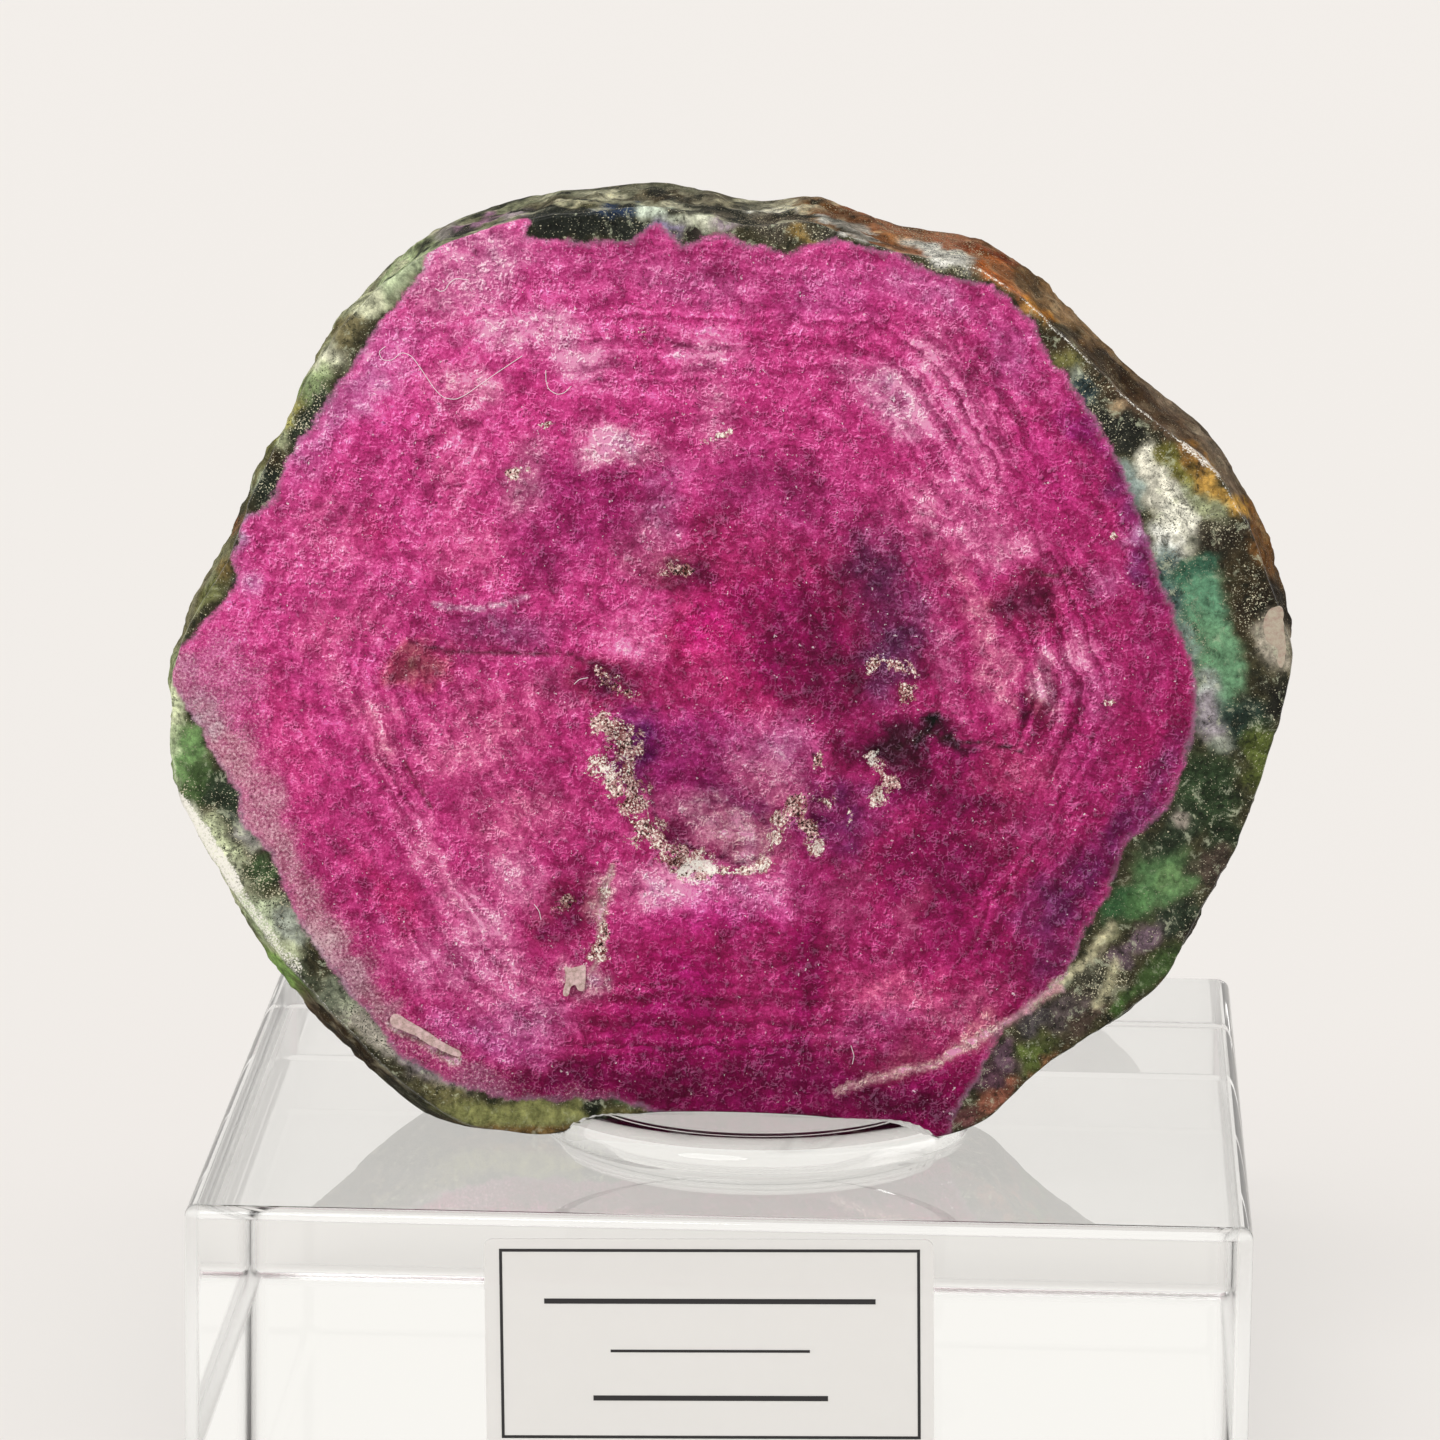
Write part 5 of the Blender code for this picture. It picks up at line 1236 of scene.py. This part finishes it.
# bruised margarite mica set in the face: matt, pinkish beige, specked
mica, micaTree, micaSurface = newMaterial("pale margarite mica", {
    "Metallic": 0.0, "Roughness": 0.6, "IOR": 1.6,
})
place = addNode(micaTree, "ShaderNodeTexCoord").outputs["Object"]
inMm = addNode(micaTree, "ShaderNodeVectorMath", {0: place, 3: 1000.0}, operation="SCALE").outputs[0]
grit = addNode(micaTree, "ShaderNodeTexNoise",
               {"Vector": inMm, "Scale": 3.5, "Detail": 6.0, "Roughness": 0.75})
gritShare = addNode(micaTree, "ShaderNodeMapRange", {"Value": grit.outputs["Fac"], "From Min": 0.40,
                                                     "From Max": 0.66})
onRight = addNode(micaTree, "ShaderNodeMapRange", {
    "Value": addNode(micaTree, "ShaderNodeSeparateXYZ", {0: inMm}).outputs[0],
    "From Min": 0.0, "From Max": 1.0})
micaTone = addNode(micaTree, "ShaderNodeMix", {0: onRight.outputs[0], 6: (*linear("e0c0c0"), 1),
                                               7: (*linear("b4aa96"), 1)}, data_type="RGBA")
micaDark = addNode(micaTree, "ShaderNodeMix", {0: gritShare.outputs[0], 6: micaTone.outputs[2],
                                               7: (*linear("a08478"), 1)}, data_type="RGBA")
micaTree.links.new(micaDark.outputs[2], micaSurface.inputs["Base Color"])
newPiece("pale_flakes", flakeMesh, mica, "ruby_zoisite")

# the clear block

block = {
    "size": (60.0, 60.0, 15.0),
    "roundTop": 0.75,  # hand-polished edges aren't all alike
    "roundUpright": 0.95,
    "roundBottom": 0.6,
    "widest": 1.0,
    "steps": 6,
    "satin": 0.38,  # roughness of the edges that are only sanded
}


def makeAcrylic():
    # cast acrylic with flame-polished faces: clear as water, with faint smears where it was wiped
    material, tree, surface = newMaterial("cast acrylic, polished", {
        "Base Color": (*linear("fbfcfb"), 1), "Metallic": 0.0, "IOR": 1.49, "Transmission Weight": 1.0,
    })
    place = addNode(tree, "ShaderNodeTexCoord").outputs["Object"]
    inMm = addNode(tree, "ShaderNodeVectorMath", {0: place, 3: 1000.0}, operation="SCALE").outputs[0]
    wiped = addNode(tree, "ShaderNodeMapping",
                    {"Vector": inMm, "Rotation": (0, 0, 0.5), "Scale": (0.05, 0.9, 0.9)})
    smears = addNode(tree, "ShaderNodeTexNoise", {"Vector": wiped.outputs[0], "Scale": 1.0, "Detail": 5.0})
    haze = addNode(tree, "ShaderNodeMapRange", {"Value": smears.outputs["Fac"], "From Min": 0.5,
                                                "From Max": 0.75, "To Min": 0.0, "To Max": 0.035})
    # the upright and the bottom edges are only sanded, to a satin gloss
    fromMiddle = addNode(tree, "ShaderNodeVectorMath", {0: inMm}, operation="ABSOLUTE").outputs[0]
    acrossEdge, alongEdge, heightEdge = addNode(tree, "ShaderNodeSeparateXYZ", {0: fromMiddle}).outputs
    outermost = addNode(tree, "ShaderNodeMath", {0: acrossEdge, 1: alongEdge}, operation="MAXIMUM").outputs[0]
    dull = haze.outputs[0]
    for first, firstLow, firstHigh, second, secondLow, secondHigh in (
            (acrossEdge, 28.9, 29.3, alongEdge, 28.9, 29.3), (outermost, 29.1, 29.4, heightEdge, 0.8, 0.6)):
        one = addNode(tree, "ShaderNodeMapRange", {
            "Value": first, "From Min": firstLow, "From Max": firstHigh})
        other = addNode(tree, "ShaderNodeMapRange", {
            "Value": second, "From Min": secondLow, "From Max": secondHigh, "To Max": block["satin"]})
        satin = addNode(tree, "ShaderNodeMath", {0: one.outputs[0], 1: other.outputs[0]},
                        operation="MULTIPLY")
        dull = addNode(tree, "ShaderNodeMath", {0: dull, 1: satin.outputs[0]}, operation="MAXIMUM").outputs[0]
    tree.links.new(dull, surface.inputs["Roughness"])
    return material


shape = bmesh.new()
bmesh.ops.create_cube(shape, size=1.0)
width, depth, height = (s * mm for s in block["size"])
for vertex in shape.verts:
    vertex.co = Vector((vertex.co.x * width, vertex.co.y * depth, (vertex.co.z + 0.5) * height))
weights = shape.edges.layers.float.new("bevel_weight_edge")
for edge in shape.edges:
    ends = sorted(v.co.z for v in edge.verts)
    kind = "roundUpright" if ends[0] != ends[1] else "roundTop" if ends[0] > 0 else "roundBottom"
    edge[weights] = block[kind] / block["widest"]
blockMesh = bpy.data.meshes.new("polished_block")
shape.to_mesh(blockMesh)
shape.free()
blockMesh.shade_smooth()
acrylic = makeAcrylic()
rounded = bpy.data.objects.new("block_rounding", blockMesh)
bpy.context.scene.collection.objects.link(rounded)
bevel = rounded.modifiers.new("polished edges", "BEVEL")
bevel.limit_method = "WEIGHT"
bevel.width = block["widest"] * mm
bevel.segments = block["steps"]
bevel.harden_normals = True
bpy.context.view_layer.update()
blockMesh = bpy.data.meshes.new_from_object(rounded.evaluated_get(bpy.context.evaluated_depsgraph_get()))
bpy.data.objects.remove(rounded)
newPiece("polished_block", blockMesh, acrylic, "acrylic", "acrylic_block")

# the clear pad, dented by the slab's foot

pad = {
    "middle": (1.3, -7.7),
    "radius": 12.6,
    "shoulder": 2.7,
    "base": 14.98,  # pressed on the block without air between
    "top": 16.78,
    "dentGap": 0.03,
    "lip": 0.12,  # upright edge below the shoulder
    "thinnest": 0.08,  # gel left between the slab and the block
    "dentReach": 0.45,  # how far the dent runs out past the slab, and over what width it eases
    "dentEase": 0.4,
    "sides": 220,
    "rings": 70,
}


def slabUnderside(across):  # height of the slab's lower edge, by place across
    edge = closedCurve([(x, slab["blockTop"] + z) for x, z in faceEdge], slab["edgePoints"])
    foot = edge[(edge[:, 1] < slab["blockTop"] + 4.5) & (np.abs(edge[:, 0]) < 19)]
    foot = foot[np.argsort(foot[:, 0])]
    return np.interp(across, foot[:, 0], foot[:, 1], left=99, right=99)


def padGeometry():
    sides, rings = pad["sides"], pad["rings"]
    share = (np.arange(1, rings + 1) / rings) ** 0.8
    turn = np.arange(sides) * 2 * math.pi / sides
    radius = np.repeat(share * pad["radius"], sides)
    angle = np.tile(turn, rings)
    x = pad["middle"][0] + radius * np.cos(angle)
    y = pad["middle"][1] + radius * np.sin(angle)
    x = np.concatenate([[pad["middle"][0]], x])
    y = np.concatenate([[pad["middle"][1]], y])
    radius = np.concatenate([[0], radius])
    tall = pad["top"] - pad["base"]
    out = np.clip((radius - (pad["radius"] - pad["shoulder"])) / pad["shoulder"], 0, 1)
    top = pad["base"] + pad["lip"] + (tall - pad["lip"]) * np.sqrt(np.clip(1 - out ** 2.2, 0, 1))
    under = slabUnderside(x) - pad["dentGap"]
    front, back = slab["front"], slab["front"] + slab["thickness"]
    reach = (smooth((y - front + pad["dentReach"]) / pad["dentEase"])
             * smooth((back + pad["dentReach"] - y) / pad["dentEase"]))
    dented = np.minimum(top, np.maximum(under, pad["base"] + pad["thinnest"]))
    top = top + (dented - top) * reach
    count = len(x)
    upper = np.stack([x, y, top], axis=1)
    rim = np.arange(count - sides, count)
    lower = np.stack([x[rim], y[rim], np.full(sides, pad["base"])], axis=1)
    faces = [[0, 1 + i, 1 + (i + 1) % sides] for i in range(sides)]
    for ring in range(rings - 1):
        a, b = 1 + ring * sides, 1 + (ring + 1) * sides
        faces += [[a + i, b + i, b + (i + 1) % sides, a + (i + 1) % sides] for i in range(sides)]
    faces += [[rim[i], count + i, count + (i + 1) % sides, rim[(i + 1) % sides]] for i in range(sides)]
    faces.append([count + i for i in range(sides)][::-1])
    return np.vstack([upper, lower]), faces


# soft clear polyurethane, moulded: glossy where it bulges
gel, *_ = newMaterial("clear polyurethane gel", {
    "Base Color": (*linear("fcfcfb"), 1), "Metallic": 0.0, "Roughness": 0.02, "IOR": 1.42,
    "Transmission Weight": 1.0,
})
places, faces = padGeometry()
padMesh = bpy.data.meshes.new("clear_pad")
padMesh.from_pydata((places * mm).tolist(), [], [[int(i) for i in face] for face in faces])
shape = bmesh.new()
shape.from_mesh(padMesh)
bmesh.ops.recalc_face_normals(shape, faces=shape.faces)
shape.to_mesh(padMesh)
shape.free()
padMesh.shade_smooth()
padMesh.set_sharp_from_angle(angle=math.radians(45))
newPiece("clear_pad", padMesh, gel, "gel", "gel_pad")

# the label film, with a printed frame and plain ruled lines

label = {
    "middle": (-0.35, 7.7),
    "size": (25.2, 12.3),
    "thickness": 0.14,
    "face": -30.12,  # how far forward its front lies
    "turn": 1.2,
    "corner": 0.5,
    "frame": (23.6, 11.05),
    "frameMiddle": (0.05, 0.06),
    "frameLine": 0.17,
    "rules": [(2.55, 18.6, 0.30), (-0.35, 11.2, 0.16), (-3.1, 13.2, 0.30)],  # up, width, line
    "ink": 0.015,
    "inkGap": 0.002,
}


def onLabel(x, z):  # from the label's own axes to the block's front
    turn = math.radians(label["turn"])
    return (label["middle"][0] + x * math.cos(turn) - z * math.sin(turn),
            label["middle"][1] + x * math.sin(turn) + z * math.cos(turn))


def addPlate(shape, outline, near, far):  # a flat plate standing on the block's front
    sheets = [[shape.verts.new(Vector((x, y, z)) * mm) for x, z in outline] for y in (near, far)]
    shape.faces.new(sheets[0])
    shape.faces.new(sheets[1][::-1])
    for i in range(len(outline)):
        j = (i + 1) % len(outline)
        shape.faces.new([sheets[0][i], sheets[1][i], sheets[1][j], sheets[0][j]])


def bar(x, z, width, height):
    corners = ((-1, -1), (1, -1), (1, 1), (-1, 1))
    return [onLabel(x + sx * width / 2, z + sz * height / 2) for sx, sz in corners]


halfWidth, halfHeight = label["size"][0] / 2, label["size"][1] / 2
outline = []
for corner, (sx, sz) in enumerate(((1, 1), (-1, 1), (-1, -1), (1, -1))):
    for step in range(6):
        turn = math.radians(90 * corner + 18 * step)
        outline.append(onLabel(sx * (halfWidth - label["corner"]) + label["corner"] * math.cos(turn),
                               sz * (halfHeight - label["corner"]) + label["corner"] * math.sin(turn)))
shape = bmesh.new()
addPlate(shape, outline, label["face"], label["face"] + label["thickness"])
bmesh.ops.recalc_face_normals(shape, faces=shape.faces)
filmMesh = bpy.data.meshes.new("label_sheet")
shape.to_mesh(filmMesh)
shape.free()
# printable polyester film: clear with a faint milky coat
film, *_ = newMaterial("clear printable film", {
    "Base Color": (*linear("fbfaf8"), 1), "Metallic": 0.0, "Roughness": 0.04, "IOR": 1.5,
    "Transmission Weight": 0.35,
})
newPiece("label_sheet", filmMesh, film, "film", "label_film")

shape = bmesh.new()
inkFar = label["face"] - label["inkGap"]
frameX, frameZ = label["frameMiddle"]
wide, tall, line = *label["frame"], label["frameLine"]
for side in (-1, 1):
    addPlate(shape, bar(frameX, frameZ + side * (tall - line) / 2, wide, line), inkFar - label["ink"], inkFar)
    addPlate(shape, bar(frameX + side * (wide - line) / 2, frameZ, line, tall - 2 * line - 0.01),
             inkFar - label["ink"], inkFar)
for up, width, line in label["rules"]:
    addPlate(shape, bar(frameX, up, width, line), inkFar - label["ink"], inkFar)
bmesh.ops.recalc_face_normals(shape, faces=shape.faces)
inkMesh = bpy.data.meshes.new("label_print")
shape.to_mesh(inkMesh)
shape.free()
# toner baked on film: near black with a slight shine
ink, *_ = newMaterial("black toner", {
    "Base Color": (*linear("1c1a1c"), 1), "Metallic": 0.0, "Roughness": 0.35, "IOR": 1.5,
})
newPiece("label_print", inkMesh, ink, "film")

# floor and light

studio = {
    "floor": "8a8785",
    "floorGlow": 0.60,  # lit from beneath, as on a light table
    "floorReach": 6,  # metres each way
    "floorHeight": -0.00002,
    "world": "f9f6f2",
    "worldStrength": 1.04,
    "sunStrength": 0.75,
    "sunAngle": 30,
    "sunTilt": (38, 0, -28),
}
floorMesh = bpy.data.meshes.new("floor")
reach = studio["floorReach"]
corners = ((-reach, -reach), (reach, -reach), (reach, reach), (-reach, reach))
floorMesh.from_pydata([(x, y, studio["floorHeight"]) for x, y in corners], [], [[0, 1, 2, 3]])
floor = bpy.data.objects.new("floor", floorMesh)
bpy.context.scene.collection.objects.link(floor)
# matt paper: even and pale, without a sheen
paper, *_ = newMaterial("matt paper", {
    "Base Color": (*linear(studio["floor"]), 1), "Roughness": 0.9, "Specular IOR Level": 0.2,
    "Emission Color": (*linear(studio["world"]), 1), "Emission Strength": studio["floorGlow"],
})
floorMesh.materials.append(paper)

world = bpy.data.worlds.new("studio")
world.use_nodes = True
world.node_tree.nodes["Background"].inputs["Color"].default_value = (*linear(studio["world"]), 1)
world.node_tree.nodes["Background"].inputs["Strength"].default_value = studio["worldStrength"]
bpy.context.scene.world = world
sun = bpy.data.objects.new("sun", bpy.data.lights.new("sun", "SUN"))
bpy.context.scene.collection.objects.link(sun)
sun.data.energy = studio["sunStrength"]
sun.data.angle = math.radians(studio["sunAngle"])
sun.rotation_euler = [math.radians(a) for a in studio["sunTilt"]]
bpy.context.scene.view_settings.view_transform = "Standard"
print("light set")
